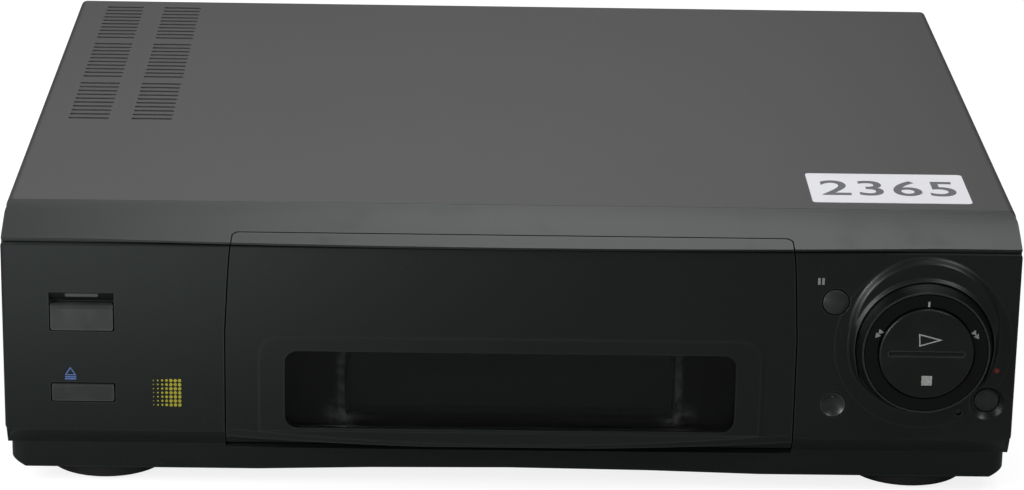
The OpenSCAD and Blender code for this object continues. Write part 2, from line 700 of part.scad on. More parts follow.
module bottom_chassis()
    color([0.5, 0.51, 0.52]) from_face() {
        difference() {
            along_z(floor_z - floor_t, floor_z)
                translate([0, (skirt_y + wall + fit_gap + back_y - 3) / 2])
                    rounded_rect(2 * (tray_x - 3), back_y - 3 - skirt_y - wall - fit_gap, skirt_r);
            for (x = [-60:24:60], y = [250:8:266]) along_z(0, 20) translate([x, y]) rounded_rect(16, 3, 1.45);
        }
        // Side flanges that the cover screws into
        both_sides() difference() {
            union() {
                block(tray_x - 1, tray_x, band_d + 12, back_y - 6, floor_z - floor_t, 30);
                block(tray_x - 4, tray_x, band_d + 12, back_y - 6, floor_z - floor_t, floor_z);
            }
            for (y = side_screw_y) rod_x(tray_x - 3, tray_x + 1, y, side_screw_z, 1.4);
        }
        // Rear flange behind the rear panel
        block(-tray_x + 8, tray_x - 8, back_y - 4.4, back_y - 3.4, floor_z - floor_t, 16);
        // Bosses under the boards and posts under the deck
        for (x = post_x, y = post_y) rod_z(x, y, floor_z, deck_bottom_z, 4);
        for (p = [[-60, 60], [60, 60], [-60, 225], [60, 225], [118, 225], [118, 60]])
            rod_z(p[0], p[1], floor_z, board_z, 3);
        for (s = [-24, 24], y = [125, back_y - 29]) rod_z(power_x + s, y, floor_z, board_z, 3);
        // Turned up front edge against the skirt
        block(-120, 120, skirt_y + wall + fit_gap, skirt_y + wall + fit_gap + 1, floor_z - floor_t, 12);
    }
module rear_panel()
    color([0.08, 0.08, 0.085]) from_face() difference() {
        block(-tray_x + 1, tray_x - 1, back_y - 3.4, back_y - 2.2, 10.5, body_h - cover_t - fit_gap);
        for (x = av_x) along_y(back_y - 5, back_y) translate([x, av_z]) rounded_rect(av_w + 3.6, av_h + 3.6, 1.5);
        for (z = aerial_z) rod_y(aerial_x, back_y - 5, back_y, z, 5.2);
        for (z = phono_z) rod_y(phono_x, back_y - 5, back_y, z, 4.6);
        along_y(back_y - 5, back_y) translate([mains_x, mains_z]) rounded_rect(24, 16, 3);
        for (x = rear_screw_x) rod_y(x, back_y - 5, back_y, rear_screw_z, 1.4);
        for (x = [-90:6:-60]) along_y(back_y - 5, back_y) rounded_span(x, x + 2.4, 40, 80, 1.15);
    }
module foot_places()
    for (x = [-foot_x, foot_x], y = [foot_y, back_y - foot_y - 6]) translate([x, y, 0]) children();
module feet()
    color([0.1, 0.1, 0.105]) from_face() foot_places()
        rotate_extrude($fn = 96)
            polygon([[0, 1], [foot_r - 5, 1], [foot_r - 3.4, 0.5], [foot_r - 1.6, 0.9], [foot_r - 0.5, 2.4],
                [foot_r, 4.4], [foot_r, floor_z - floor_t], [0, floor_z - floor_t]]);
module foot_pads()
    color([0.2, 0.2, 0.2]) from_face() foot_places() cylinder(r = foot_r - 5.6, h = 1);
module case_screws()
    color([0.2, 0.2, 0.21]) from_face() {
        both_sides() for (y = side_screw_y) {
            translate([cover_x, y, side_screw_z]) screw_head([0, 90, 0]);
            rod_x(tray_x - 4, cover_x, y, side_screw_z, 1.3);
        }
        for (x = rear_screw_x) {
            translate([x, back_y, rear_screw_z]) screw_head([-90, 0, 0]);
            rod_y(x, back_y - 7, back_y, rear_screw_z, 1.3);
        }
    }
module screw_head(turn)
    rotate(turn) difference() {
        cylinder(r1 = 3.6, r2 = 2.8, h = screw_h);
        for (a = [0, 90]) rotate([0, 0, a]) translate([-2.2, -0.45, screw_h - 0.8]) cube([4.4, 0.9, 1.5]);
    }

// Boards

module tact_switch(x, y, z) {
    block(x - 3, x + 3, y - switch_h + 0.6, y, z - 3, z + 3);
    rod_y(x, y - switch_h, y - switch_h + 0.6, z, 1.7);
}
module left_switch_board()
    color([0.55, 0.42, 0.2]) from_face() {
        block(-half_w + 8, -gate_x - 10, switch_y, switch_y + board_t, 28, 80);
        for (z = [power_z + power_h / 2, eject_z + eject_h / 2]) tact_switch(key_x, switch_y, z);
        // Legs that stand on the face plate
        for (x = [11, 62], z = [50, 78]) rod_y(x - half_w, plate_t, switch_y, z, 1.8);
    }
module right_switch_board()
    color([0.55, 0.42, 0.2]) from_face() {
        block(gate_x + 8, half_w - 5, right_board_y, right_board_y + board_t, 28, 88);
        tact_switch(pause_x, right_board_y, pause_z);
        tact_switch(timer_x, right_board_y, timer_z);
        tact_switch(record_x - 1, right_board_y, record_z);
        for (s = [-1, 1]) block(dial_x - 3, dial_x + 3, right_board_y - switch_h + 0.8, right_board_y,
            dial_z + s * 10 - 3, dial_z + s * 10 + 3);
        for (p = [[-22.5, 30.2], [6.5, 30.2], [-22.5, 86], [24.5, 86]])
            rod_y(dial_x + p[0], plate_t, right_board_y, p[1], 1.8);
    }
module display_board()
    color([0.1, 0.3, 0.16]) from_face() {
        block(-72, 72, 18, 18 + board_t, window_z + 0.5, window_top_z + 1);
        for (i = [-5:5]) block(i * 10 - 0.4, i * 10 + 0.4, 16.6, 18, window_z + 1.2, window_z + 2.2);
        block(-40, -12, 18 + board_t, 20.8, 34, 42);
    }
module display_tube()
    color([0.1, 0.16, 0.16]) from_face() {
        difference() {
            block(-58, 58, 12.4, 16.6, window_z + 1, window_top_z - 1);
            block(-55, 55, 12, 12.9, window_z + 4, window_top_z - 4);
        }
        // Seven bar digits behind the glass
        for (d = [-30, -16, 2, 16]) {
            for (z = [8, 14.2, 20.4]) block(d - 3, d + 3, 12.6, 12.9, window_z + z, window_z + z + 1.2);
            for (s = [-1, 1], z = [9.4, 15.6])
                translate([d + s * 3.8, 12.75, window_z + z + 2.3]) cube([1.2, 0.3, 4.6], center = true);
        }
    }
module main_board()
    color([0.12, 0.34, 0.18]) from_face() difference() {
        block(-deck_x + 8, half_w - 10, 24, back_y - 16, board_z, board_top_z);
        for (x = post_x, y = post_y) rod_z(x, y, 5, 30, 4.4);
    }
module capacitor(x, y, r, h) rod_z(x, y, board_top_z, board_top_z + h, r);
module main_components()
    color([0.15, 0.15, 0.16]) from_face() {
        for (p = [[-80, 60], [-30, 45], [20, 60], [-70, 120], [0, 120]])
            block(p[0], p[0] + 22, p[1], p[1] + 14, board_top_z, board_top_z + 3.4);
        for (i = [0:5]) capacitor(122 + 8 * i, 50, 3.2, 11);
        for (i = [0:4]) capacitor(124 + 9 * i, 150, 3.6, 13);
        for (i = [0:3]) capacitor(-90 + 12 * i, 90, 2.5, 8);
        // Screening can over the head amplifier
        difference() {
            block(116, 156, 90, 130, board_top_z, board_top_z + 16);
            block(117, 155, 91, 129, board_top_z - 1, board_top_z + 15);
            for (x = [122:8:146], y = [98:8:122]) rod_z(x, y, board_top_z + 10, board_top_z + 20, 2);
        }
    }
module power_board()
    color([0.5, 0.4, 0.2]) from_face() block(power_x - 30, power_x + 30, 118, back_y - 16, board_z, board_top_z);
module power_components()
    color([0.12, 0.13, 0.2]) from_face() {
        capacitor(power_x + 14, 200, 11, 32);
        capacitor(power_x + 14, 176, 7, 26);
        capacitor(power_x - 4, 182, 6, 20);
        capacitor(power_x - 18, 186, 5, 16);
        block(power_x - 26, power_x - 8, 236, 254, board_top_z, board_top_z + 18);
        for (i = [0:3]) block(power_x + 7 * i, power_x + 4 + 7 * i, 228, 240, board_top_z, board_top_z + 10);
    }
module transformer()
    color([0.4, 0.36, 0.22]) from_face() {
        difference() {
            block(power_x - 26, power_x + 18, 126, 160, board_top_z, board_top_z + 36);
            block(power_x - 17, power_x + 9, 125, 161, board_top_z + 9, board_top_z + 27);
        }
        block(power_x - 17, power_x + 9, 122, 164, board_top_z + 9, board_top_z + 27);
        block(power_x - 6, power_x - 2, 126.5, 159.5, board_top_z, board_top_z + 8.6);
    }
module heat_sink()
    color([0.62, 0.63, 0.65]) from_face() {
        block(power_x - 24, power_x + 24, 212, 214.5, board_top_z, board_top_z + 44);
        for (x = [power_x - 23:6:power_x + 20]) block(x, x + 1.4, 214.5, 223, board_top_z + 2, board_top_z + 44);
    }
module tuner_module()
    color([0.66, 0.67, 0.68]) from_face() {
        difference() {
            block(0, 40, back_y - 34.2, back_y - 3.4, 27.5, 60);
            block(0.8, 39.2, back_y - 33.4, back_y - 4.2, 28.3, 59.2);
        }
        for (x = [4, 32]) block(x, x + 4, back_y - 28, back_y - 24, board_top_z, 27.5);
        for (z = aerial_z) {
            difference() {
                rod_y(aerial_x, back_y - 4, back_y - 0.2, z, 4.8);
                rod_y(aerial_x, back_y - 3, back_y + 4, z, 3.4);
            }
            rod_y(aerial_x, back_y - 4, back_y - 0.6, z, 1.1);
        }
    }
module scart_sockets()
    color([0.07, 0.07, 0.075]) from_face() for (x = av_x) {
        difference() {
            along_y(back_y - 16, back_y - 0.4) translate([x, av_z]) rounded_rect(av_w + 2.8, av_h + 2.8, 1.4);
            along_y(back_y - 10, back_y + 1) translate([x, av_z]) rounded_rect(av_w, av_h, 1);
        }
        for (i = [-9:9])
            translate([x + 2 * i, back_y - 10.5, av_z + (i % 2 == 0 ? -2.2 : 2.2)])
                translate([-0.4, 0, -0.3]) cube([0.8, 4.5, 0.6]);
        block(x - 18, x + 18, back_y - 20, back_y - 16, board_top_z, av_z + 4);
    }
module phono_jacks()
    color([0.7, 0.66, 0.3]) from_face() {
        block(phono_x - 10, phono_x + 10, back_y - 20, back_y - 4.7, board_top_z, 56);
        for (z = phono_z) difference() {
            rod_y(phono_x, back_y - 5, back_y - 0.2, z, 4.2);
            rod_y(phono_x, back_y - 4, back_y + 4, z, 3.2);
        }
    }
module mains_inlet()
    color([0.06, 0.06, 0.065]) from_face() {
        difference() {
            along_y(back_y - 18, back_y - 1.2) translate([mains_x, mains_z]) rounded_rect(23.2, 15.2, 2.8);
            along_y(back_y - 14, back_y) translate([mains_x, mains_z]) rounded_rect(18, 10, 4.4);
        }
        for (s = [-4, 4]) rod_y(mains_x + s, back_y - 14.5, back_y - 5, mains_z, 1.2);
        block(mains_x - 8, mains_x + 8, back_y - 22, back_y - 18, board_top_z, mains_z + 6);
    }
// Flat cable folded from the deck down to the main board
module ribbon_cable()
    color([0.8, 0.8, 0.78]) from_face() {
        along_x(-38, -18) polygon([[232, deck_z + 0.7], [250.2, deck_z + 0.7], [254, deck_z - 4], [254, board_top_z + 5],
            [253.6, board_top_z + 5], [253.6, deck_z - 4.2], [250, deck_z + 0.3], [232, deck_z + 0.3]]);
        block(-39, -17, 252.4, 255.4, board_top_z, board_top_z + 5);
    }

// Deck and cassette lift

function drum_place() = [0, drum_y, drum_z];
module at_drum() translate(drum_place()) rotate([drum_tilt, 0, 0]) children();
module arc_slot(a0, a1)
    along_z(deck_bottom_z - 1, deck_z + 1) translate([0, drum_y])
        difference() {
            intersection() {
                circle(track_r + 2.25);
                polygon([[0, 0], for (i = [0:8]) 80 * [cos(a0 + (a1 - a0) * i / 8), sin(a0 + (a1 - a0) * i / 8)]]);
            }
            circle(track_r - 2.25);
        }
module deck_base()
    color([0.6, 0.61, 0.62]) from_face() difference() {
        union() {
            along_z(deck_bottom_z, deck_z) translate([0, 135]) rounded_rect(2 * deck_x, 226, 5);
            // Fixed spindles for the reels, the pinch arm and the cam gear
            for (s = [-1, 1]) rod_z(s * reel_pitch / 2, reel_y, deck_z, deck_z + 15, 2);
            rod_z(pinch_x, pinch_y, deck_z, deck_z + 9, 2);
            rod_z(cam_x, cam_y, deck_z, deck_z + 7, 2);
        }
        arc_slot(155, 255);
        arc_slot(285, 385);
        rod_z(capstan_x, capstan_y, 10, 40, 2.6);
        for (x = [-90, 64]) along_z(10, 40) translate([x + 14, 60]) rounded_rect(26, 30, 4);
        along_z(10, 40) translate([0, 66]) rounded_rect(44, 26, 4);
        rod_z(cam_x + gear_space * cos(motor_dir), cam_y + gear_space * sin(motor_dir), 10, 40, 2);
    }
module deck_posts()
    color([0.75, 0.76, 0.77]) from_face() {
        for (p = [[-58, 168], [54, 150], [-44, 236], [44, 236]]) {
            rod_z(p[0], p[1], deck_z, deck_z + 30, 1.6);
            rod_z(p[0], p[1], deck_z, deck_z + 8, 3);
            rod_z(p[0], p[1], deck_z + 24, deck_z + 25, 3);
        }
        // Screws that hold the deck on its posts
        for (x = post_x, y = post_y) translate([x, y, deck_z]) screw_head([0, 0, 0]);
    }
module lift_brackets()
    color([0.64, 0.65, 0.66]) from_face() both_sides() difference() {
        union() {
            along_x(bracket_x, bracket_x + bracket_t)
                polygon([[front_arm_y - 12, deck_z], [rear_arm_y + 40, deck_z], [rear_arm_y + 40, pivot_z + 14],
                    [rear_arm_y + 20, pin_z + 8], [front_arm_y - 4, pin_z + 8], [front_arm_y - 12, pin_z]]);
            block(bracket_x, bracket_x + 6, front_arm_y + 2, front_arm_y + 14, deck_z, deck_z + bracket_t);
            block(bracket_x, bracket_x + 6, rear_arm_y + 20, rear_arm_y + 32, deck_z, deck_z + bracket_t);
        }
        for (y = [front_arm_y, rear_arm_y]) rod_x(bracket_x - 1, bracket_x + 7, y, pivot_z, pin_r + run_gap);
        along_x(bracket_x - 1, bracket_x + 5) translate([(front_arm_y + rear_arm_y) / 2 + 6, (pivot_z + pin_z) / 2 + 4])
            rounded_rect(34, 18, 4);
    }
// One lift arm between its pivot and the holder's pin
module lift_arm(y, x0, x1, hole_r)
    difference() {
        along_x(x0, x1) {
            translate([y, pivot_z]) circle(4);
            translate([y, pin_z]) circle(4);
            translate([y - 3, pivot_z]) square([6, arm_l]);
        }
        rod_x(x0 - 1, x1 + 1, y, pin_z, hole_r);
    }
module front_lift_arms()
    color([0.72, 0.73, 0.74]) from_face() {
        both_sides() lift_arm(front_arm_y, arm_x, arm_x + arm_t, pin_r + run_gap);
        rod_x(-bracket_x - bracket_t - 0.8, bracket_x + bracket_t + 0.8, front_arm_y, pivot_z, pin_r);
    }
module rear_lift_arms()
    color([0.72, 0.73, 0.74]) from_face() both_sides() {
        lift_arm(rear_arm_y, arm_x, arm_x + arm_t, pin_r + fit_gap);
        rod_x(arm_x, bracket_x + bracket_t + 0.8, rear_arm_y, pivot_z, pin_r);
    }
module cassette_holder()
    color([0.68, 0.69, 0.7]) from_face() {
        both_sides() {
            block(slot_x, holder_x, holder_y, holder_y + tape_d, holder_z - holder_t, holder_top_z + holder_t);
            block(75, slot_x + 0.5, holder_y, holder_y + tape_d, holder_z - holder_t, holder_z);
            for (y = [front_arm_y, rear_arm_y]) rod_x(holder_x - 0.5, arm_x + arm_t + 0.6, y, pin_z, pin_r);
            // Leaf springs that press the cassette down
            block(60, 80, holder_y + 30, holder_y + 90, holder_top_z - 0.6, holder_top_z);
        }
        block(-76, 76, holder_y, holder_y + 12, holder_z - holder_t, holder_z);
        difference() {
            block(-slot_x - 0.5, slot_x + 0.5, holder_y + 26, holder_y + tape_d, holder_top_z, holder_top_z + holder_t);
            along_z(holder_top_z - 1, holder_top_z + 3) translate([0, holder_y + 66]) rounded_rect(90, 44, 6);
        }
    }
module lower_drum()
    color([0.7, 0.71, 0.73]) from_face() {
        intersection() {
            at_drum() translate([0, 0, -12]) cylinder(r = drum_r, h = 12 + drum_half_h, $fn = 96);
            block(-50, 50, drum_y - 50, drum_y + 50, deck_z, deck_z + 60);
        }
        at_drum() cylinder(r = 3, h = 2 * drum_half_h + 6);
        block(-20, 20, drum_y + 24, drum_y + 38, deck_z, deck_z + 8);
    }
module upper_drum()
    color([0.78, 0.79, 0.8]) from_face() at_drum() difference() {
        union() {
            translate([0, 0, drum_half_h + fit_gap]) cylinder(r = drum_r, h = drum_half_h - 1, $fn = 96);
            translate([0, 0, 2 * drum_half_h - 1]) cylinder(r = 11, h = 4);
        }
        translate([0, 0, drum_half_h - 1]) cylinder(r = 3 + run_gap, h = drum_half_h + 9);
        translate([0, 0, 2 * drum_half_h - 3]) difference() {
            cylinder(r = drum_r - 4, h = 5);
            translate([0, 0, -1]) cylinder(r = 14, h = 7);
        }
    }
module capstan_motor()
    color([0.55, 0.56, 0.57]) from_face() difference() {
        union() {
            rod_z(capstan_x, capstan_y, deck_bottom_z - 4, deck_bottom_z, 19.5);
            rod_z(capstan_x, capstan_y, deck_bottom_z - 1, deck_z + 3, 2.5);
        }
        rod_z(capstan_x, capstan_y, 10, 60, capstan_r + run_gap);
    }
module capstan()
    color([0.8, 0.8, 0.81]) from_face() {
        rod_z(capstan_x, capstan_y, deck_bottom_z - 8, deck_z + 32, capstan_r);
        difference() {
            rod_z(capstan_x, capstan_y, deck_bottom_z - 9, deck_bottom_z - 4.4, 25);
            for (a = [0:60:300]) rod_z(capstan_x + 15 * cos(a), capstan_y + 15 * sin(a), 10, 40, 3);
        }
    }
module reel_table(x)
    translate([x, reel_y, 0]) difference() {
        union() {
            rod_z(0, 0, deck_z + 1, deck_z + 3.6, 19);
            rod_z(0, 0, deck_z + 3, deck_z + 7, 12);
            rod_z(0, 0, deck_z + 6, deck_z + 17, 6);
            for (a = [90, 210, 330]) rotate([0, 0, a]) block(5, 9.6, -0.8, 0.8, deck_z + 6, deck_z + 15);
        }
        rod_z(0, 0, deck_z - 1, deck_z + 15.4, 2 + run_gap);
    }
module supply_reel() color([0.15, 0.15, 0.16]) from_face() reel_table(-reel_pitch / 2);
module take_up_reel() color([0.15, 0.15, 0.16]) from_face() reel_table(reel_pitch / 2);
function roller_x() = pinch_x + pinch_l * cos(pinch_rest);
function roller_y() = pinch_y + pinch_l * sin(pinch_rest);
module pinch_arm()
    color([0.66, 0.67, 0.68]) from_face() {
        difference() {
            along_z(deck_z + 2, deck_z + 5) {
                translate([pinch_x, pinch_y]) circle(5);
                translate([roller_x(), roller_y()]) circle(3.4);
                translate([pinch_x, pinch_y]) rotate(pinch_rest) translate([0, -3]) square([pinch_l, 6]);
            }
            rod_z(pinch_x, pinch_y, deck_z, deck_z + 6, 2 + run_gap);
        }
        rod_z(roller_x(), roller_y(), deck_z + 4, deck_z + 26, 1.5);
    }
module pinch_roller()
    color([0.08, 0.08, 0.085]) from_face() difference() {
        rod_z(roller_x(), roller_y(), deck_z + 9, deck_z + 24, roller_r);
        rod_z(roller_x(), roller_y(), deck_z + 8, deck_z + 27, 1.5 + run_gap);
    }
// Carriage with an upright roller and a slant post, riding in the arc slot
module guide_carriage(a)
    translate([0, drum_y, 0]) rotate([0, 0, a]) {
        translate([track_r, 0, 0]) {
            rod_z(0, 0, deck_bottom_z - 1.5, deck_z + 2, 1.9);
            rod_z(0, 0, deck_bottom_z - 2.4, deck_bottom_z - 0.4, 3.6);
            block(-4, 4, -6, 6, deck_z + 0.4, deck_z + 3.4);
            rod_z(0, -2.6, deck_z + 3, deck_z + 26, 2.6);
            rod_z(0, -2.6, deck_z + 3, deck_z + 6, 3.4);
            rod_z(0, -2.6, deck_z + 24, deck_z + 26, 3.2);
            translate([0, 3.6, deck_z + 3]) rotate([6, 0, 0]) cylinder(r = 1, h = 22);
        }
    }
module left_guide() color([0.74, 0.75, 0.76]) from_face() guide_carriage(270 - guide_angle);
module right_guide() color([0.74, 0.75, 0.76]) from_face() guide_carriage(270 + guide_angle);
module tape_head(x, y, a, w)
    translate([x, y, 0]) rotate([0, 0, a]) {
        block(-w / 2, w / 2, -4, 3, deck_z + 8, deck_z + 24);
        translate([0, -4, 0]) rod_z(0, 0, deck_z + 8, deck_z + 24, 2);
        block(-w / 2 - 3, w / 2 + 3, -3, 6, deck_z, deck_z + 2);
        rod_z(0, 1, deck_z + 1, deck_z + 9, 2);
    }
module erase_head() color([0.6, 0.6, 0.62]) from_face() tape_head(-70, 176, 25, 8);
module sound_head() color([0.6, 0.6, 0.62]) from_face() tape_head(60, 182, -30, 8);

// Spur gear about Z, with straight sided teeth; the first gap or tooth lies along +X
module gear(teeth, thick, bore, turn = 0)
    difference() {
        linear_extrude(thick) rotate(turn) polygon([
            for (i = [0:teeth - 1]) let (p = 360 / teeth, r = gear_m * teeth / 2)
                for (q = [[-0.36, -1.15], [-0.17, 0.75], [0.17, 0.75], [0.36, -1.15]])
                    (r + gear_m * q[1]) * [cos((i + q[0]) * p), sin((i + q[0]) * p)]
        ]);
        translate([0, 0, -1]) cylinder(r = bore, h = thick + 2);
    }
module cam_gear()
    color([0.85, 0.84, 0.8]) from_face() translate([cam_x, cam_y, 0]) {
        translate([0, 0, deck_z + 1]) gear(cam_teeth, 3, 2 + run_gap, motor_dir);
        translate([0, 0, deck_z + 3]) difference() {
            cylinder(r = cam_r - 3, h = 2.4);
            translate([0, 0, -1]) cylinder(r = 2 + run_gap, h = 5);
            translate([2, 0, 1]) difference() {
                cylinder(r = cam_r - 6, h = 3);
                translate([0, 0, -1]) cylinder(r = cam_r - 9, h = 5);
            }
        }
    }
module motor_pinion()
    color([0.85, 0.84, 0.8]) from_face()
        translate([cam_x + gear_space * cos(motor_dir), cam_y + gear_space * sin(motor_dir), 0]) {
            translate([0, 0, deck_z + 0.6])
                gear(pinion_teeth, 4.4, 1.2, motor_dir + 180 + 180 / pinion_teeth);
            translate([0, 0, deck_z - 2]) cylinder(r = 1.25, h = 7);
        }
module loading_motor()
    color([0.5, 0.5, 0.52]) from_face()
        translate([cam_x + gear_space * cos(motor_dir), cam_y + gear_space * sin(motor_dir), 0]) difference() {
            union() {
                rod_z(0, 0, board_top_z + 0.6, deck_bottom_z, 8.5);
                rod_z(0, 0, deck_bottom_z - 1, deck_z, 1.9);
            }
            translate([0, 0, deck_z - 3]) cylinder(r = 1.25 + run_gap, h = 5);
        }

front_bezel();
top_cover();
bottom_chassis();
rear_panel();
feet();
foot_pads();
case_screws();
inner_fascia();
door_panel();
door_window();
cassette_flap();
power_button();
eject_button();
pause_button();
timer_button();
record_button();
indicator_lenses();
shuttle_ring();
index_ring();
play_stop_rocker();
left_switch_board();
right_switch_board();
display_board();
display_tube();
main_board();
main_components();
power_board();
power_components();
transformer();
heat_sink();
tuner_module();
scart_sockets();
phono_jacks();
mains_inlet();
deck_base();
deck_posts();
lift_brackets();
front_lift_arms();
rear_lift_arms();
cassette_holder();
lower_drum();
upper_drum();
capstan_motor();
capstan();
supply_reel();
take_up_reel();
pinch_arm();
pinch_roller();
left_guide();
right_guide();
erase_head();
sound_head();
loading_motor();
cam_gear();
motor_pinion();
ribbon_cable();
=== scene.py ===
# Looks of the video cassette recorder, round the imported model
import math

import bmesh
import bpy
from mathutils import Matrix, Vector


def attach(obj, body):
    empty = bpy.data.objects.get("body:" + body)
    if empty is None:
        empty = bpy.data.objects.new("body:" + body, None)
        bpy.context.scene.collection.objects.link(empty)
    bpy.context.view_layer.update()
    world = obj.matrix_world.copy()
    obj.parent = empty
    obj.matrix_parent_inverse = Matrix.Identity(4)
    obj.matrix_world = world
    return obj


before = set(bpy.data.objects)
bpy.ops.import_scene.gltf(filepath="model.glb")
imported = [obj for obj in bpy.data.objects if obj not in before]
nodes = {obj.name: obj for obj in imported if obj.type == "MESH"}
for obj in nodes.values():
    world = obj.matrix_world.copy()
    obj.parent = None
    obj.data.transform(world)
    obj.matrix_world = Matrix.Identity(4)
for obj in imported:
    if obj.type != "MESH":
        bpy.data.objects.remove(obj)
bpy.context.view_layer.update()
print("packed model:", len(nodes), "nodes")

mm = 0.001
recorder = {"faceY": -141.4, "topZ": 102.2, "dialX": 146.5, "dialZ": 58.5, "rockerY": -9.6, "ringY": -8.4}


def spot(x, y, z):
    # x from the middle, y behind the front face, z above the floor, in millimetres
    return Vector((x * mm, (recorder["faceY"] + y) * mm, z * mm))


# ---- camera: worked out from the photograph's corners
camera = {"place": (-23.167, -1211.194, 507.357), "pitch": 18.837, "yaw": -1.080, "roll": 1.065,
          "focal": 3642.9, "width": 1024}


def setCamera():
    pitch, yaw, roll = (math.radians(camera[k]) for k in ("pitch", "yaw", "roll"))
    ahead = Vector((-math.sin(yaw) * math.cos(pitch), math.cos(yaw) * math.cos(pitch), -math.sin(pitch)))
    level = Vector((math.cos(yaw), math.sin(yaw), 0))
    up = level.cross(ahead)
    right = math.cos(roll) * level + math.sin(roll) * up
    top = -math.sin(roll) * level + math.cos(roll) * up
    turn = Matrix((right, top, -ahead)).transposed().to_4x4()
    data = bpy.data.cameras.new("photoCamera")
    data.sensor_width = 36
    data.lens = 36 * camera["focal"] / camera["width"]
    data.clip_start, data.clip_end = 0.05, 20
    eye = bpy.data.objects.new("photoCamera", data)
    bpy.context.scene.collection.objects.link(eye)
    eye.matrix_world = Matrix.Translation(spot(*camera["place"])) @ turn
    bpy.context.scene.camera = eye


setCamera()
print("camera set")


# ---- shader maths
class Wire:
    # a shader socket that can be added, multiplied and compared
    def __init__(self, finish, socket):
        self.finish, self.socket = finish, socket

    def reckon(self, operation, first, second):
        return self.finish.node("ShaderNodeMath", {"operation": operation}, {0: first, 1: second})

    def __add__(self, other):
        return self.reckon("ADD", self, other)

    __radd__ = __add__

    def __sub__(self, other):
        return self.reckon("SUBTRACT", self, other)

    def __rsub__(self, other):
        return self.reckon("SUBTRACT", other, self)

    def __mul__(self, other):
        return self.reckon("MULTIPLY", self, other)

    __rmul__ = __mul__

    def __truediv__(self, other):
        return self.reckon("DIVIDE", self, other)

    def __gt__(self, other):
        return self.reckon("GREATER_THAN", self, other)

    def __lt__(self, other):
        return self.reckon("LESS_THAN", self, other)

    def __pow__(self, other):
        return self.reckon("POWER", self, other)

    def __abs__(self):
        return self.reckon("ABSOLUTE", self, 0.0)

    def highest(self, other):
        return self.reckon("MAXIMUM", self, other)


class Finish:
    # one material, with its nodes added by the calls below
    def __init__(self, name):
        self.material = bpy.data.materials.new(name)
        self.material.use_nodes = True
        self.tree = self.material.node_tree
        self.tree.nodes.clear()
        self.shader = self.tree.nodes.new("ShaderNodeBsdfPrincipled")
        self.out = self.tree.nodes.new("ShaderNodeOutputMaterial")
        self.tree.links.new(self.shader.outputs[0], self.out.inputs[0])
        self.at = self.node("ShaderNodeTexCoord", {}, {}, "Object")

    def join(self, value, socket):
        if isinstance(value, Wire):
            self.tree.links.new(value.socket, socket)
        else:
            socket.default_value = value

    def node(self, kind, settings=None, sockets=None, output=0):
        new = self.tree.nodes.new(kind)
        for key, value in (settings or {}).items():
            if key == "stops":
                ramp = new.color_ramp
                while len(ramp.elements) < len(value):
                    ramp.elements.new(0.5)
                for element, (position, colour) in zip(ramp.elements, value):
                    element.position, element.color = position, colour
            else:
                setattr(new, key, value)
        for key, value in (sockets or {}).items():
            self.join(value, new.inputs[key])
        return Wire(self, new.outputs[output])

    def noise(self, scale, detail=2.0, rough=0.5, stretch=None, distortion=0.0):
        where = self.at
        if stretch:
            where = self.node("ShaderNodeMapping", {}, {"Vector": self.at, "Scale": stretch})
        return self.node("ShaderNodeTexNoise", {}, {"Vector": where, "Scale": scale, "Detail": detail,
                                                    "Roughness": rough, "Distortion": distortion})

    def cells(self, scale, feature="F1", output=0, stretch=None):
        where = self.at
        if stretch:
            where = self.node("ShaderNodeMapping", {}, {"Vector": self.at, "Scale": stretch})
        return self.node("ShaderNodeTexVoronoi", {"feature": feature}, {"Vector": where, "Scale": scale}, output)

    def axis(self, letter):
        return self.node("ShaderNodeSeparateXYZ", {}, {0: self.at}, letter)

    def spread(self, value, low, high, toLow=0.0, toHigh=1.0):
        return self.node("ShaderNodeMapRange", {"interpolation_type": "SMOOTHSTEP"},
                         {0: value, 1: low, 2: high, 3: toLow, 4: toHigh})

    def tint(self, mask, colourA, colourB):
        return self.node("ShaderNodeMix", {"data_type": "RGBA"}, {0: mask, 6: colourA, 7: colourB}, 2)

    def bump(self, height, distance, strength=1.0, below=None):
        sockets = {"Height": height, "Distance": distance, "Strength": strength}
        if below:
            sockets["Normal"] = below
        return self.node("ShaderNodeBump", {}, sockets)

    def wear(self, radius=0.0012):
        # 1 along rounded edges, 0 on flats
        soft = self.node("ShaderNodeBevel", {"samples": 4}, {"Radius": radius})
        flat = self.node("ShaderNodeNewGeometry", {}, {}, "Normal")
        same = self.node("ShaderNodeVectorMath", {"operation": "DOT_PRODUCT"}, {0: soft, 1: flat}, "Value")
        return self.spread(same, 0.98, 0.86)

    def shade(self, **values):
        for key, value in values.items():
            self.join(value, self.shader.inputs[key.replace("_", " ")])
        return self.material


def rgb(r, g, b):
    # sRGB bytes to the linear colour that a shader takes
    return tuple(((c / 255 + 0.055) / 1.055) ** 2.4 if c > 10 else c / 255 / 12.92 for c in (r, g, b)) + (1.0,)


# ---- finishes of the outside
frontLook = {"deep": (0.0044, 0.006, 0.0057, 1), "lit": (0.0068, 0.0088, 0.0085, 1), "dust": (0.1, 0.1, 0.098, 1),
             "grain": 2600.0, "grainDepth": 0.00002, "rough": 0.33}


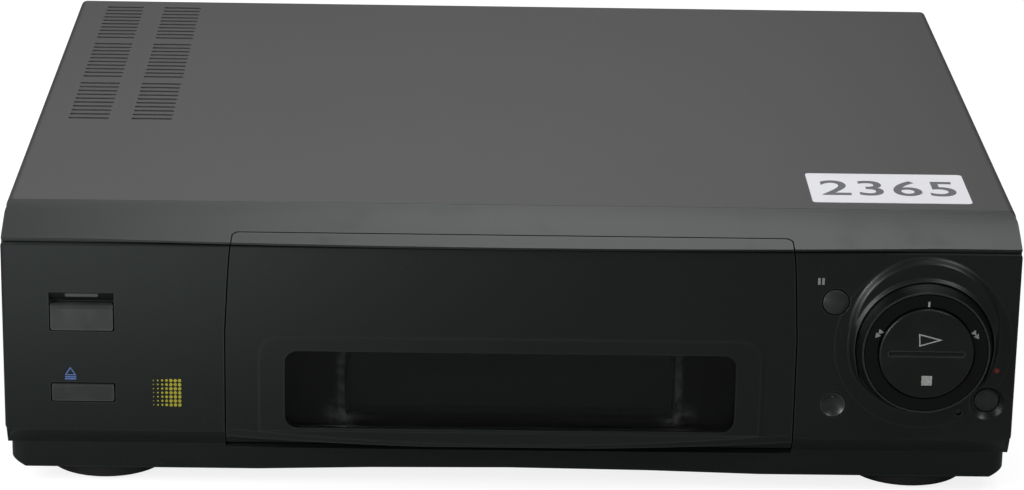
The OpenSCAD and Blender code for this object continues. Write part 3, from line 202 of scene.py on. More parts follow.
def frontMoulding():
    look = Finish("frontMoulding")
    cloud = look.noise(14.0, 4.0, 0.6)
    fine = look.noise(frontLook["grain"], 2.0, 0.6)
    specks = look.spread(look.cells(420.0), 0.1, 0.05) * look.spread(look.noise(60.0), 0.56, 0.64)
    smears = look.spread(look.noise(35.0, 5.0, 0.7, (1, 1, 0.35)), 0.52, 0.75)
    body = look.tint(cloud, frontLook["deep"], frontLook["lit"])
    # the pale tint along rounded edges is partly wear and partly a painted highlight on the lit edges
    worn = look.tint(look.wear(0.001) * 0.4, body, (0.045, 0.048, 0.048, 1))
    dusty = look.tint(specks * 0.55, worn, frontLook["dust"])
    return look.shade(Base_Color=dusty, Roughness=frontLook["rough"] + smears * 0.07 + fine * 0.06 + specks * 0.3,
                      Normal=look.bump(fine, frontLook["grainDepth"], 0.5), IOR=1.5,
                      Specular_IOR_Level=0.36, Specular_Tint=(0.94, 1.0, 0.985, 1))


def keyMoulding():
    look = Finish("keyMoulding")
    fine = look.noise(2800.0, 2.0)
    polish = look.spread(look.noise(150.0, 3.0), 0.35, 0.7)
    body = look.tint(polish, (0.017, 0.0195, 0.019, 1), (0.026, 0.029, 0.0285, 1))
    edge = look.tint(look.wear(0.0009) * 0.7, body, (0.07, 0.074, 0.073, 1))
    return look.shade(Base_Color=edge, Roughness=0.34 - polish * 0.08 + fine * 0.05,
                      Normal=look.bump(fine, 0.000015, 0.4))


def dialMoulding():
    look = Finish("dialMoulding")
    fine = look.noise(2600.0, 2.0)
    handled = look.spread(look.noise(90.0, 4.0), 0.4, 0.7)
    body = look.tint(handled, (0.0042, 0.0052, 0.005, 1), (0.0068, 0.008, 0.0078, 1))
    # the pale tint along rounded edges is partly wear and partly a painted highlight, such as the lit edge of the
    # rocker's slit
    edge = look.tint(look.wear(0.0007) * 0.6, body, (0.09, 0.094, 0.094, 1))
    return look.shade(Base_Color=edge, Roughness=0.3 + handled * 0.08, Normal=look.bump(fine, 0.00001, 0.4),
                      Specular_IOR_Level=0.33)


def ringGloss():
    look = Finish("ringGloss")
    swirl = look.noise(700.0, 3.0, 0.6)
    dust = look.spread(look.cells(600.0), 0.1, 0.04) * look.spread(look.noise(120.0), 0.55, 0.65)
    return look.shade(Base_Color=look.tint(dust * 0.4, (0.0025, 0.003, 0.003, 1), (0.12, 0.12, 0.12, 1)),
                      Roughness=0.13 + swirl * 0.08 + dust * 0.3, Specular_IOR_Level=0.2)


coverLook = {"deep": (0.029, 0.029, 0.0295, 1), "pale": (0.04, 0.04, 0.0405, 1), "grain": 1500.0}


def coverPaint():
    look = Finish("coverPaint")
    cloud = look.noise(6.0, 5.0, 0.6)
    streaks = look.noise(30.0, 4.0, 0.6, (1, 0.15, 1))
    pebble = look.cells(coverLook["grain"], "SMOOTH_F1")
    fine = look.noise(coverLook["grain"] * 1.6, 3.0, 0.6)
    specks = look.spread(look.cells(260.0), 0.09, 0.04) * look.spread(look.noise(40.0), 0.58, 0.64)
    body = look.tint(cloud * 0.6 + streaks * 0.4, coverLook["deep"], coverLook["pale"])
    edge = look.tint(look.wear(0.0012) * 0.3, body, (0.13, 0.13, 0.13, 1))
    return look.shade(Base_Color=look.tint(specks * 0.4, edge, (0.2, 0.2, 0.19, 1)),
                      Roughness=0.47 + cloud * 0.08 + specks * 0.2, Specular_IOR_Level=0.4,
                      Normal=look.bump(pebble * 0.6 + fine * 0.4, 0.00003, 0.45))


def smokedWindow():
    look = Finish("smokedWindow")
    grease = look.spread(look.noise(25.0, 5.0, 0.65), 0.45, 0.7)
    dust = look.spread(look.cells(500.0), 0.09, 0.04) * look.spread(look.noise(80.0), 0.55, 0.63)
    return look.shade(Base_Color=look.tint(dust * 0.25, (0.42, 0.44, 0.43, 1), (0.55, 0.55, 0.53, 1)),
                      Roughness=0.05 + grease * 0.05 + dust * 0.2, Transmission_Weight=1.0, IOR=1.17)


def dustyFascia():
    # matt black, with dust gathered along the display frame
    look = Finish("dustyFascia")
    x, z = look.axis("X"), look.axis("Z")
    sideDust = look.spread(abs(abs(x) - 0.0605), 0.0026, 0.0006)
    topDust = look.spread(abs(z - 0.0525), 0.0014, 0.0005) * look.spread(abs(x), 0.0622, 0.0610)
    heap = look.spread(abs(abs(x) - 0.0605), 0.0085, 0.0005) * look.spread(abs(z - 0.0262), 0.008, 0.0005)
    patchy = look.spread(look.noise(260.0, 5.0, 0.7), 0.36, 0.62)
    low = look.spread(z, 0.0585, 0.0575)
    dust = (sideDust * 0.55).highest(topDust * 0.7).highest(heap) * patchy * low
    fine = look.noise(2000.0, 2.0)
    return look.shade(Base_Color=look.tint(dust * 0.8, (0.0022, 0.0026, 0.0026, 1), (0.19, 0.187, 0.19, 1)),
                      Roughness=0.5 + fine * 0.15 + dust * 0.2, Normal=look.bump(fine, 0.00002, 0.5), Specular_IOR_Level=0.05)


def blackSteel():
    look = Finish("blackSteel")
    fine = look.cells(1400.0, "SMOOTH_F1")
    cloud = look.noise(9.0, 4.0)
    edge = look.wear(0.0005)
    body = look.tint(cloud, (0.018, 0.018, 0.0185, 1), (0.028, 0.028, 0.029, 1))
    return look.shade(Base_Color=look.tint(edge * 0.4, body, (0.2, 0.2, 0.2, 1)), Roughness=0.42 + cloud * 0.1,
                      Metallic=edge * 0.5, Normal=look.bump(fine, 0.00003, 0.4))


def footPlastic():
    look = Finish("footPlastic")
    cloud = look.noise(40.0, 4.0)
    fine = look.noise(1900.0, 2.0)
    scuff = look.spread(look.noise(120.0, 5.0, 0.7, (1, 1, 0.2)), 0.58, 0.72)
    body = look.tint(cloud, (0.011, 0.011, 0.0115, 1), (0.018, 0.018, 0.019, 1))
    return look.shade(Base_Color=look.tint(scuff * 0.3, body, (0.07, 0.07, 0.068, 1)), Roughness=0.45 + scuff * 0.15,
                      Normal=look.bump(fine, 0.00003, 0.5))


def footFelt():
    look = Finish("footFelt")
    fibres = look.noise(1500.0, 5.0, 0.8, (1, 1, 1), 1.5)
    grime = look.spread(look.noise(90.0, 4.0), 0.4, 0.7)
    body = look.tint(fibres, (0.03, 0.03, 0.031, 1), (0.09, 0.088, 0.085, 1))
    return look.shade(Base_Color=look.tint(grime * 0.4, body, (0.05, 0.042, 0.034, 1)), Roughness=0.95,
                      Normal=look.bump(fibres, 0.0002, 0.8))


def screwBlack():
    look = Finish("screwBlack")
    scrape = look.wear(0.0003)
    grain = look.noise(900.0, 4.0)
    return look.shade(Base_Color=look.tint(scrape * 0.7, (0.03, 0.03, 0.032, 1), (0.35, 0.34, 0.33, 1)),
                      Metallic=0.6 + scrape * 0.4, Roughness=0.32 + grain * 0.2)


def milkLens():
    look = Finish("milkLens")
    ribs = look.node("ShaderNodeTexWave", {"bands_direction": "X"}, {"Vector": look.at, "Scale": 700.0})
    return look.shade(Base_Color=look.tint(ribs, (0.022, 0.023, 0.023, 1), (0.05, 0.052, 0.052, 1)),
                      Roughness=0.22 + ribs * 0.1)


# ---- finishes of the inside
def zincSheet():
    look = Finish("zincSheet")
    spangle = look.cells(55.0, "F1", "Color")
    value = look.node("ShaderNodeSeparateColor", {}, {0: spangle}, 0)
    brushed = look.noise(400.0, 3.0, 0.6, (1, 0.05, 1))
    stain = look.spread(look.noise(12.0, 5.0, 0.65), 0.55, 0.75)
    edge = look.wear(0.0005)
    body = look.tint(value * 0.5 + brushed * 0.5, (0.42, 0.43, 0.44, 1), (0.6, 0.61, 0.62, 1))
    aged = look.tint(stain * 0.35, body, (0.34, 0.33, 0.3, 1))
    return look.shade(Base_Color=look.tint(edge * 0.5, aged, (0.75, 0.75, 0.76, 1)), Metallic=0.95,
                      Roughness=0.3 + value * 0.12 + stain * 0.15, Normal=look.bump(brushed, 0.00002, 0.3))


def turnedAlloy():
    look = Finish("turnedAlloy")
    lines = look.noise(900.0, 3.0, 0.6, (0.02, 0.02, 1))
    cloud = look.noise(40.0, 4.0)
    return look.shade(Base_Color=look.tint(cloud, (0.62, 0.63, 0.65, 1), (0.74, 0.75, 0.76, 1)), Metallic=1.0,
                      Roughness=0.2 + lines * 0.16, Normal=look.bump(lines, 0.00001, 0.5))


def platedPin():
    look = Finish("platedPin")
    grain = look.noise(700.0, 4.0, 0.6)
    return look.shade(Base_Color=look.tint(grain, (0.5, 0.5, 0.5, 1), (0.68, 0.68, 0.67, 1)), Metallic=1.0,
                      Roughness=0.18 + grain * 0.14)


boardLook = {"green": ((0.012, 0.075, 0.03, 1), (0.03, 0.15, 0.06, 1)),
             "brown": ((0.2, 0.11, 0.04, 1), (0.33, 0.2, 0.085, 1))}


def circuitBoard(name, base, track):
    look = Finish(name)
    runs = look.node("ShaderNodeTexBrick", {"offset": 0.37, "squash": 0.6, "squash_frequency": 3},
                     {"Vector": look.at, "Scale": 160.0, "Mortar Size": 0.09, "Color1": (0, 0, 0, 1),
                      "Color2": (0, 0, 0, 1), "Mortar": (1, 1, 1, 1)}, "Fac")
    gate = look.spread(look.noise(55.0, 2.0), 0.45, 0.52)
    pads = look.spread(look.cells(330.0), 0.22, 0.16)
    cloud = look.noise(20.0, 4.0)
    body = look.tint(runs * gate, base, track)
    tinned = look.tint(pads * 0.8, body, (0.5, 0.5, 0.47, 1))
    return look.shade(Base_Color=tinned, Roughness=0.38 + cloud * 0.12 - pads * 0.1, Metallic=pads * 0.8,
                      Normal=look.bump(runs * gate + pads, 0.00008, 0.6))


def partsBlack():
    # chips, capacitor sleeves with their pale stripe and bare tops
    look = Finish("partsBlack")
    z = look.axis("Z")
    kind = look.node("ShaderNodeSeparateColor", {}, {0: look.cells(70.0, "F1", "Color")}, 0)
    up = look.node("ShaderNodeSeparateXYZ", {}, {0: look.node("ShaderNodeNewGeometry", {}, {}, "Normal")}, "Z")
    top = look.spread(up, 0.8, 0.9) * look.spread(z, 0.0195, 0.0205)
    side = look.node("ShaderNodeSeparateXYZ", {}, {0: look.node("ShaderNodeNewGeometry", {}, {}, "Normal")}, "X")
    stripe = look.spread(side, 0.9, 0.93) * look.spread(z, 0.018, 0.019)
    grain = look.noise(800.0, 3.0)
    body = look.tint(kind, (0.012, 0.012, 0.014, 1), (0.02, 0.035, 0.09, 1))
    striped = look.tint(stripe * 0.7, body, (0.45, 0.45, 0.42, 1))
    return look.shade(Base_Color=look.tint(top, striped, (0.62, 0.62, 0.6, 1)), Metallic=top * 0.9,
                      Roughness=0.36 + grain * 0.12)


def woundCore():
    # stacked laminations with the wrapped winding in the middle
    look = Finish("woundCore")
    plates = look.node("ShaderNodeTexWave", {"bands_direction": "Y"}, {"Vector": look.at, "Scale": 420.0})
    rust = look.spread(look.noise(90.0, 5.0, 0.7), 0.5, 0.7)
    body = look.tint(plates, (0.09, 0.085, 0.08, 1), (0.2, 0.19, 0.18, 1))
    aged = look.tint(rust * 0.4, body, (0.14, 0.07, 0.03, 1))
    return look.shade(Base_Color=aged, Metallic=0.6 - rust * 0.4, Roughness=0.42 + rust * 0.2,
                      Normal=look.bump(plates, 0.0001, 0.6))


def socketBlack():
    look = Finish("socketBlack")
    grain = look.noise(1200.0, 3.0)
    cloud = look.noise(60.0, 3.0)
    return look.shade(Base_Color=look.tint(cloud, (0.016, 0.016, 0.017, 1), (0.03, 0.03, 0.031, 1)),
                      Roughness=0.4 + grain * 0.12, Normal=look.bump(grain, 0.00002, 0.4))


def soundSockets():
    # yellow above, white below, black towards the front
    look = Finish("soundSockets")
    z, y = look.axis("Z"), look.axis("Y")
    upper = look.spread(z, 0.0385, 0.0395)
    block = look.spread(y, 0.1457, 0.1454)
    grain = look.noise(900.0, 3.0)
    body = look.tint(upper, (0.62, 0.62, 0.6, 1), (0.55, 0.4, 0.03, 1))
    return look.shade(Base_Color=look.tint(block, body, (0.02, 0.02, 0.021, 1)), Roughness=0.3 + grain * 0.12)


def tubeGlass():
    # dark grid behind the glass, with the faint unlit bars
    look = Finish("tubeGlass")
    mesh = look.node("ShaderNodeTexBrick", {"offset": 0.0}, {"Vector": look.at, "Scale": 1500.0, "Mortar Size": 0.12,
                     "Color1": (0, 0, 0, 1), "Color2": (0, 0, 0, 1), "Mortar": (1, 1, 1, 1)}, "Fac")
    cloud = look.noise(30.0, 3.0)
    return look.shade(Base_Color=look.tint(mesh, (0.004, 0.005, 0.0055, 1), (0.012, 0.0145, 0.015, 1)),
                      Roughness=0.12 + cloud * 0.08, Specular_IOR_Level=0.1)


def wheelPlastic(name, low, high, rough):
    look = Finish(name)
    grain = look.noise(1100.0, 3.0)
    cloud = look.noise(70.0, 4.0)
    return look.shade(Base_Color=look.tint(cloud, low, high), Roughness=rough + grain * 0.12,
                      Normal=look.bump(grain, 0.00002, 0.4))


def ribbonGrey():
    look = Finish("ribbonGrey")
    wires = look.node("ShaderNodeTexWave", {"bands_direction": "X"}, {"Vector": look.at, "Scale": 250.0})
    return look.shade(Base_Color=look.tint(wires, (0.42, 0.42, 0.4, 1), (0.62, 0.62, 0.6, 1)), Roughness=0.45 + wires * 0.1,
                      Normal=look.bump(wires, 0.0002, 0.6))


front, key, dial, steel, pin, zinc, alloy = (frontMoulding(), keyMoulding(), dialMoulding(), blackSteel(), platedPin(),
                                             zincSheet(), turnedAlloy())
greenBoard = circuitBoard("greenBoard", *boardLook["green"])
brownBoard = circuitBoard("brownBoard", *boardLook["brown"])
parts, socket = partsBlack(), socketBlack()
naturalPlastic = wheelPlastic("naturalPlastic", (0.55, 0.53, 0.47, 1), (0.66, 0.64, 0.58, 1), 0.4)
darkPlastic = wheelPlastic("darkPlastic", (0.02, 0.02, 0.021, 1), (0.035, 0.035, 0.037, 1), 0.38)
rubber = wheelPlastic("rollerRubber", (0.012, 0.012, 0.0125, 1), (0.022, 0.022, 0.022, 1), 0.7)

finishes = {
    "front_bezel": front, "door_panel": front, "top_cover": coverPaint(), "bottom_chassis": zinc,
    "rear_panel": steel, "feet": footPlastic(), "foot_pads": footFelt(), "case_screws": screwBlack(),
    "inner_fascia": dustyFascia(), "door_window": smokedWindow(), "cassette_flap": darkPlastic,
    "power_button": key, "eject_button": key, "pause_button": key, "timer_button": key, "record_button": key,
    "indicator_lenses": milkLens(), "shuttle_ring": dial, "index_ring": ringGloss(), "play_stop_rocker": dial,
    "left_switch_board": brownBoard, "right_switch_board": brownBoard, "display_board": greenBoard,
    "display_tube": tubeGlass(), "main_board": greenBoard, "main_components": parts, "power_board": brownBoard,
    "power_components": parts, "transformer": woundCore(), "heat_sink": alloy, "tuner_module": pin,
    "scart_sockets": socket, "phono_jacks": soundSockets(), "mains_inlet": socket, "deck_base": zinc,
    "deck_posts": pin, "lift_brackets": zinc, "front_lift_arms": zinc, "rear_lift_arms": zinc,
    "cassette_holder": zinc, "lower_drum": alloy, "upper_drum": alloy, "capstan_motor": alloy, "capstan": pin,
    "supply_reel": darkPlastic, "take_up_reel": darkPlastic, "pinch_arm": zinc, "pinch_roller": rubber,
    "left_guide": alloy, "right_guide": alloy, "erase_head": alloy, "sound_head": alloy, "loading_motor": pin,
    "cam_gear": naturalPlastic, "motor_pinion": naturalPlastic, "ribbon_cable": ribbonGrey(),
}
for name, material in finishes.items():
    mesh = nodes[name].data
    mesh.materials.clear()
    mesh.materials.append(material)
print("finishes on", len(finishes), "nodes")


# ---- printed marks and the sticker
def inkOf(name, colour, rough=0.5, patch=0.25):
    look = Finish(name)
    worn = look.spread(look.noise(900.0, 4.0, 0.7), 0.3, 0.7)
    low = tuple(c * (1 - patch) for c in colour[:3]) + (1,)
    return look.shade(Base_Color=look.tint(worn, low, colour), Roughness=rough + worn * 0.08)


inks = {"grey": inkOf("greyInk", rgb(150, 152, 150)), "pale": inkOf("paleInk", rgb(178, 182, 178)),
        "blue": inkOf("blueInk", rgb(96, 128, 190)), "yellow": inkOf("yellowInk", rgb(176, 170, 48)),
        "red": inkOf("redInk", rgb(150, 48, 40))}
print("inks mixed")


def addPiece(name, shape, material, body):
    bmesh.ops.recalc_face_normals(shape, faces=shape.faces)
    mesh = bpy.data.meshes.new(name)
    shape.to_mesh(mesh)
    shape.free()
    mesh.materials.append(material)
    piece = bpy.data.objects.new(name, mesh)
    bpy.context.scene.collection.objects.link(piece)
    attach(piece, body)
    return piece


def addPatch(shape, corners, y, lift=0.05):
    # flat patch from its corners (x, z) on a plane y behind the face, raised by lift
    ring = [shape.verts.new(spot(x, y + 0.01, z)) for x, z in corners]
    face = shape.faces.new(ring)
    raised = bmesh.ops.extrude_face_region(shape, geom=[face])
    bmesh.ops.translate(shape, verts=[v for v in raised["geom"] if isinstance(v, bmesh.types.BMVert)],
                        vec=(0, -(lift + 0.01) * mm, 0))


def addDot(shape, x, z, y, radius, lift=0.05, sides=16):
    turn = Matrix.Rotation(math.pi / 2, 4, "X")
    made = bmesh.ops.create_cone(shape, cap_ends=True, segments=sides, radius1=radius * mm, radius2=radius * mm,
                                 depth=(lift + 0.01) * mm, matrix=Matrix.Translation(spot(x, y + 0.005 - lift / 2, z)) @ turn)
    return made["verts"]


marks = {
    "pauseBars": {"ink": "grey", "body": "chassis", "y": 0.0,
                  "patches": [[(107.95, 80.7), (108.85, 80.7), (108.85, 83.2), (107.95, 83.2)],
                              [(109.4, 80.7), (110.3, 80.7), (110.3, 83.2), (109.4, 83.2)]]},
    "ejectBars": {"ink": "blue", "body": "chassis", "y": 0.0,
                  "patches": [[(-158.2, 42.35), (-154.3, 42.35), (-154.3, 42.75), (-158.2, 42.75)],
                              [(-158.2, 41.6), (-154.3, 41.6), (-154.3, 42.0), (-158.2, 42.0)]]},
    "stopSign": {"ink": "pale", "body": "rocker", "y": -9.6,
                 "patches": [[(145.15, 46.8), (148.85, 46.8), (148.85, 50.4), (145.15, 50.4)]]},
    "indexMark": {"ink": "pale", "body": "chassis", "y": -8.4,
                  "patches": [[(146.2, 75.9), (146.9, 75.9), (146.9, 77.75), (146.2, 77.75)]]},
}


def printMarks():
    for name, mark in marks.items():
        shape = bmesh.new()
        for corners in mark["patches"]:
            addPatch(shape, corners, mark["y"])
        addPiece(name, shape, inks[mark["ink"]], mark["body"])


hollowSigns = {
    "playSign": {"ink": "pale", "body": "rocker", "y": -9.6, "line": 0.42,
                 "outer": [(143.4, 66.2), (151.9, 63.95), (143.7, 61.4)]},
    "ejectArrow": {"ink": "blue", "body": "chassis", "y": 0.0, "line": 0.3,
                   "outer": [(-158.3, 43.2), (-154.2, 43.2), (-156.25, 46.3)]},
}


def printHollow():
    # outlined triangles: inset of the face, then the middle taken out
    for name, sign in hollowSigns.items():
        shape = bmesh.new()
        face = shape.faces.new([shape.verts.new(spot(x, sign["y"] + 0.01, z)) for x, z in sign["outer"]])
        shape.normal_update()
        bmesh.ops.inset_individual(shape, faces=[face], thickness=sign["line"] * mm, use_even_offset=True)
        bmesh.ops.delete(shape, geom=[face], context="FACES_ONLY")
        raised = bmesh.ops.extrude_face_region(shape, geom=shape.faces[:])
        bmesh.ops.translate(shape, verts=[v for v in raised["geom"] if isinstance(v, bmesh.types.BMVert)],
                            vec=(0, -0.06 * mm, 0))
        addPiece(name, shape, inks[sign["ink"]], sign["body"])


ringLook = {"radius": 18.6, "arrow": 1.05, "turns": (-68, 68), "apart": 1.7, "lean": 52}


def printRing():
    # double arrows at both sides of the black ring, pointing away from the index mark
    shape = bmesh.new()
    size, lean = ringLook["arrow"], math.radians(ringLook["lean"])
    for side in ringLook["turns"]:
        way = 1 if side > 0 else -1
        turn = math.radians(side)
        middle = Vector((math.sin(turn), math.cos(turn))) * ringLook["radius"]
        along = Vector((way * math.cos(lean), -math.sin(lean)))
        across = Vector((along.y, -along.x))
        for step in (-0.5, 0.5):
            heart = middle + along * step * ringLook["apart"]
            corners = [heart - along * size * 0.8 + across * size, heart + along * size * 0.9,
                       heart - along * size * 0.8 - across * size]
            addPatch(shape, [(recorder["dialX"] + c.x, recorder["dialZ"] + c.y) for c in corners], recorder["ringY"])
    addPiece("shuttleArrows", shape, inks["grey"], "chassis")


# ---- raised collar of the front round the dial, over the hollow that the moulding has there
collar = {"crestX": 146.8, "crestZ": 64.3, "base": 27.3, "slope": 2.6, "rise": 2.1, "lip": 3.1, "foot": 27.2,
          "seam": 24.6, "seamLow": 25.85, "hollow": 31.9, "skin": 0.25, "turns": 300, "rings": 44,
          "cup": (170.4, 36.5, 6.22), "holes": [(160.4, 32.8, 1.12), (114.6, 74.2, 5.02)],
          "cupBall": (8.77, -6.2), "cupFloor": 5.45}


def ease(value):
    value = min(1.0, max(0.0, value))
    return value * value * (3 - 2 * value)


def collarHeight(x, z, radius, inner, lip):
    crest = collar["rise"] * ease((collar["base"] - math.hypot(x - collar["crestX"], z - collar["crestZ"])) / collar["slope"])
    cone = lip * ease((collar["foot"] - radius) / (collar["foot"] - inner))
    return (crest ** 4 + cone ** 4) ** 0.25


def addCollar():
    shape = bmesh.new()
    rows = []
    for i in range(collar["turns"]):
        angle = 2 * math.pi * i / collar["turns"]
        side, up = math.cos(angle), math.sin(angle)
        lip = collar["lip"] * ease((25 * up + 20) / 16)
        inner = collar["seam"] + (collar["seamLow"] - collar["seam"]) * (1 - ease((lip - 1.2) / 2.1))
        lifted = collar["crestZ"] - recorder["dialZ"]
        edge = lifted * up + math.sqrt(collar["base"] ** 2 - (lifted * side) ** 2)
        outer = max(collar["hollow"], edge + 0.1)
        row = []
        for j in range(collar["rings"] + 1):
            radius = inner + (outer - inner) * j / collar["rings"]
            x, z = recorder["dialX"] + radius * side, recorder["dialZ"] + radius * up
            # the last ring dips under the face, so no edge shows
            y = 0.04 if j == collar["rings"] else -collarHeight(x, z, radius, inner, lip) - 0.02
            row.append(shape.verts.new(spot(x, y, z)))
        rows.append(row)
    for row, following in zip(rows, rows[1:] + rows[:1]):
        for j in range(collar["rings"]):
            shape.faces.new((row[j], row[j + 1], following[j + 1], following[j]))
    # openings over the record button's cup, the lamp and the pause button
    for x, z, radius in [collar["cup"], *collar["holes"]]:
        middle = spot(x, 0, z)
        away = {v: Vector((v.co.x - middle.x, v.co.z - middle.z)) for v in shape.verts}
        inside = [f for f in shape.faces if all(away[v].length < radius * mm for v in f.verts)]
        bmesh.ops.delete(shape, geom=inside, context="FACES")
        for v in shape.verts:
            if away[v].length < radius * mm:
                out = away[v].normalized() * radius * mm
                v.co.x, v.co.z = middle.x + out.x, middle.z + out.y
    for f in shape.faces:
        f.smooth = True
    bmesh.ops.recalc_face_normals(shape, faces=shape.faces)
    bmesh.ops.solidify(shape, geom=shape.faces[:], thickness=collar["skin"] * mm)
    x, z, radius = collar["cup"]
    ball, deep = collar["cupBall"]
    wall = []
    for step in range(6):
        r = radius + (collar["cupFloor"] - radius) * step / 5
        y = math.sqrt(ball * ball - r * r) + deep
        wall.append([shape.verts.new(spot(x + r * math.cos(a), y, z + r * math.sin(a)))
                     for a in (2 * math.pi * k / 64 for k in range(64))])
    for ring, following in zip(wall, wall[1:]):
        for k in range(64):
            shape.faces.new((ring[k], ring[(k + 1) % 64], following[(k + 1) % 64], following[k])).smooth = True
    piece = addPiece("dialCollar", shape, front, "chassis")
    low = min(v.co.y for v in piece.data.vertices) / mm - recorder["faceY"]
    print("dial collar stands", round(-low, 2), "mm proud")


dotGrid = {"left": -126.9, "low": 32.3, "pitch": 1.55, "columns": 7, "rows": 7, "small": 0.2, "large": 0.62}


def printDots():
    shape = bmesh.new()
    for column in range(dotGrid["columns"]):
        radius = dotGrid["small"] + (dotGrid["large"] - dotGrid["small"]) * min(1, column / 4)
        for row in range(dotGrid["rows"]):
            addDot(shape, dotGrid["left"] + column * dotGrid["pitch"], dotGrid["low"] + row * dotGrid["pitch"], 0.0, radius, sides=12)
    addPiece("dotGrid", shape, inks["yellow"], "chassis")
    shape = bmesh.new()
    addDot(shape, 173.2, 49.0, 0.0, 0.9)
    addPiece("recordDot", shape, inks["red"], "chassis")


sticker = {"x0": 107.8, "x1": 165.3, "y0": 27.8, "y1": 61.7, "round": 1.6, "thick": 0.12, "digits": "2365",
           "digitsTall": 17.5, "digitsWide": 49.0}


def stickerPaper():
    look = Finish("stickerPaper")
    cloud = look.noise(60.0, 4.0)
    fibre = look.noise(1800.0, 3.0)
    edge = look.spread(look.noise(300.0, 4.0), 0.6, 0.75)
    body = look.tint(cloud, rgb(214, 214, 220), rgb(228, 228, 232))
    return look.shade(Base_Color=look.tint(edge * 0.12, body, rgb(170, 168, 166)), Roughness=0.38 + fibre * 0.1)


def addSticker():
    shape = bmesh.new()
    middle = spot((sticker["x0"] + sticker["x1"]) / 2, (sticker["y0"] + sticker["y1"]) / 2, recorder["topZ"] + sticker["thick"] / 2)
    size = ((sticker["x1"] - sticker["x0"]) * mm, (sticker["y1"] - sticker["y0"]) * mm, (sticker["thick"] + 0.02) * mm)
    bmesh.ops.create_cube(shape, size=1.0, matrix=Matrix.Translation(middle) @ Matrix.Diagonal((*size, 1)))
    uprights = [e for e in shape.edges if abs(e.verts[0].co.z - e.verts[1].co.z) > 0.5 * size[2]]
    bmesh.ops.bevel(shape, geom=uprights, offset=sticker["round"] * mm, segments=6, profile=0.5, affect="EDGES", material=-1)
    addPiece("stockSticker", shape, stickerPaper(), "chassis")
    words = bpy.data.curves.new("stickerDigits", "FONT")
    words.body = sticker["digits"]
    words.size = 1.0
    words.space_character = 1.12
    words.extrude = 0.02
    words.offset = 0.012
    flat = bpy.data.objects.new("stickerDigits", words)
    bpy.context.scene.collection.objects.link(flat)
    bpy.context.view_layer.update()
    mesh = bpy.data.meshes.new_from_object(flat.evaluated_get(bpy.context.evaluated_depsgraph_get()))
    bpy.data.objects.remove(flat)
    shape = bmesh.new()
    shape.from_mesh(mesh)
    bpy.data.meshes.remove(mesh)
    low = [min(v.co[i] for v in shape.verts) for i in range(3)]
    high = [max(v.co[i] for v in shape.verts) for i in range(3)]
    tall = sticker["digitsTall"] * mm / (high[1] - low[1])
    wide = sticker["digitsWide"] * mm / (high[0] - low[0])
    centre = Vector([(low[i] + high[i]) / 2 for i in range(3)])
    bmesh.ops.translate(shape, verts=shape.verts, vec=-centre)
    bmesh.ops.scale(shape, verts=shape.verts, vec=(wide, tall, 0.0012))
    bmesh.ops.translate(shape, verts=shape.verts, vec=middle + Vector((0, 0, sticker["thick"] * 0.5 * mm)))
    addPiece("stickerDigits", shape, inkOf("digitInk", rgb(92, 92, 97)), "chassis")


printMarks()
printHollow()
printRing()
printDots()
addSticker()
addCollar()
print("marks, sticker and collar on")


# ---- floor and light
studio = {"floorColour": (0.26, 0.26, 0.26, 1), "floorGlow": 0.84, "floorFar": 0.955, "floorGloss": 0.02, "worldLevel": 0.18,
          "sheen": {"at": (-0.2, -0.5, 0), "reach": 0.26, "level": 2.4},
          "lamps": {
              "overhead": {"at": (0.15, 0.25, 1.1), "aim": (0, 0, 0.05), "size": (0.8, 0.6), "power": 6.0},
              "backLeft": {"at": (-0.1, 1.0, 0.85), "aim": (0, 0, 0.05), "size": (0.9, 0.6), "power": 2.6},
              "leftFront": {"at": (-0.62, -0.55, 0.36), "aim": (-0.25, -0.3, 0), "size": (0.4, 0.4), "power": 5.5},
              "rightTop": {"at": (0.55, -0.5, 0.7), "aim": (0.14, -0.14, 0.05), "size": (0.2, 0.2), "power": 1.8}}}


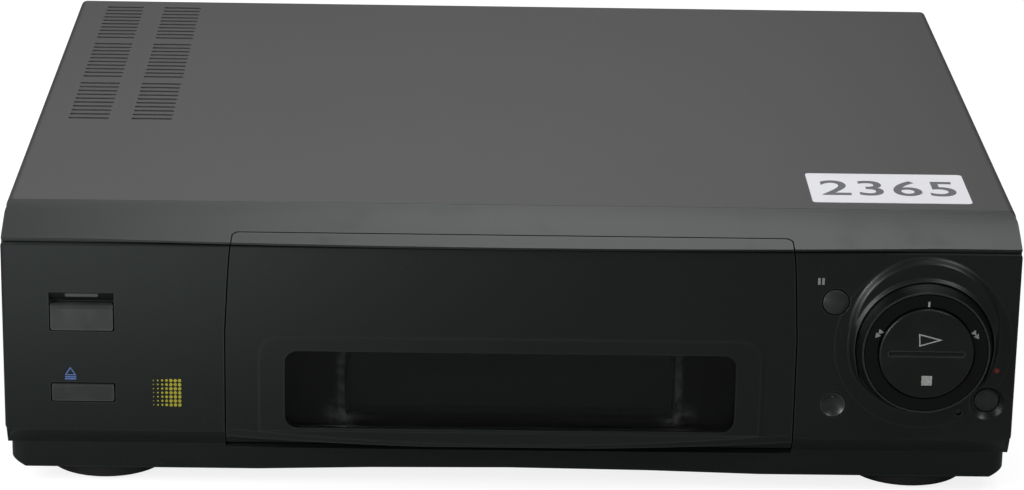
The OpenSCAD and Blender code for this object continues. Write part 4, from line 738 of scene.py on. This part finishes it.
def addFloor():
    shape = bmesh.new()
    bmesh.ops.create_grid(shape, x_segments=1, y_segments=1, size=4.0)
    mesh = bpy.data.meshes.new("floor")
    shape.to_mesh(mesh)
    shape.free()
    floor = bpy.data.objects.new("floor", mesh)
    bpy.context.scene.collection.objects.link(floor)
    floor.location.z = -0.2 * mm
    look = Finish("floorPaper")
    seen, through, mirrored = (look.node("ShaderNodeLightPath", {}, {}, ray)
                               for ray in ("Is Camera Ray", "Is Transmission Ray", "Is Glossy Ray"))
    # seen from below, the floor lets the underside show
    below = look.node("ShaderNodeNewGeometry", {}, {}, "Backfacing")
    look.shade(Base_Color=studio["floorColour"], Roughness=0.9, Specular_IOR_Level=0.0, Emission_Color=(1, 1, 1, 1),
               Alpha=1.0 - below)
    # the floor ahead of the left side is brighter in what the front mirrors
    sheen = studio["sheen"]
    away = look.node("ShaderNodeVectorMath", {"operation": "DISTANCE"}, {0: look.at, 1: sheen["at"]}, "Value")
    patch = look.spread(away, sheen["reach"], 0.0) * sheen["level"] + studio["floorGloss"]
    # far off it is as bright as the room, so no horizon shows
    far = look.node("ShaderNodeVectorMath", {"operation": "LENGTH"}, {0: look.at}, "Value")
    glow = look.spread(far, 0.9, 2.6, studio["floorGlow"], studio["floorFar"])
    look.join((seen + through) * glow + mirrored * patch, look.shader.inputs["Emission Strength"])
    mesh.materials.append(look.material)


def addLamps():
    for name, lamp in studio["lamps"].items():
        data = bpy.data.lights.new(name, "AREA")
        data.shape = "RECTANGLE"
        data.size, data.size_y = lamp["size"]
        data.energy = lamp["power"]
        made = bpy.data.objects.new(name, data)
        bpy.context.scene.collection.objects.link(made)
        place = Vector(lamp["at"])
        made.location = place
        made.rotation_euler = (Vector(lamp["aim"]) - place).to_track_quat("-Z", "Y").to_euler()
    world = bpy.data.worlds.new("paleRoom")
    bpy.context.scene.world = world
    world.use_nodes = True
    tree = world.node_tree
    air = tree.nodes["Background"]
    air.inputs["Color"].default_value = (1, 1, 1, 1)
    # plain white where the camera looks past the floor, a quiet grey level for the light itself
    rays = tree.nodes.new("ShaderNodeLightPath")
    seen = tree.nodes.new("ShaderNodeMath")
    seen.operation = "MAXIMUM"
    level = tree.nodes.new("ShaderNodeMapRange")
    level.inputs["To Min"].default_value = studio["worldLevel"]
    tree.links.new(rays.outputs["Is Camera Ray"], seen.inputs[0])
    tree.links.new(rays.outputs["Is Transmission Ray"], seen.inputs[1])
    tree.links.new(seen.outputs[0], level.inputs["Value"])
    tree.links.new(level.outputs[0], air.inputs["Strength"])


addFloor()
addLamps()
bpy.context.scene.view_settings.view_transform = "Standard"
print("studio lit")
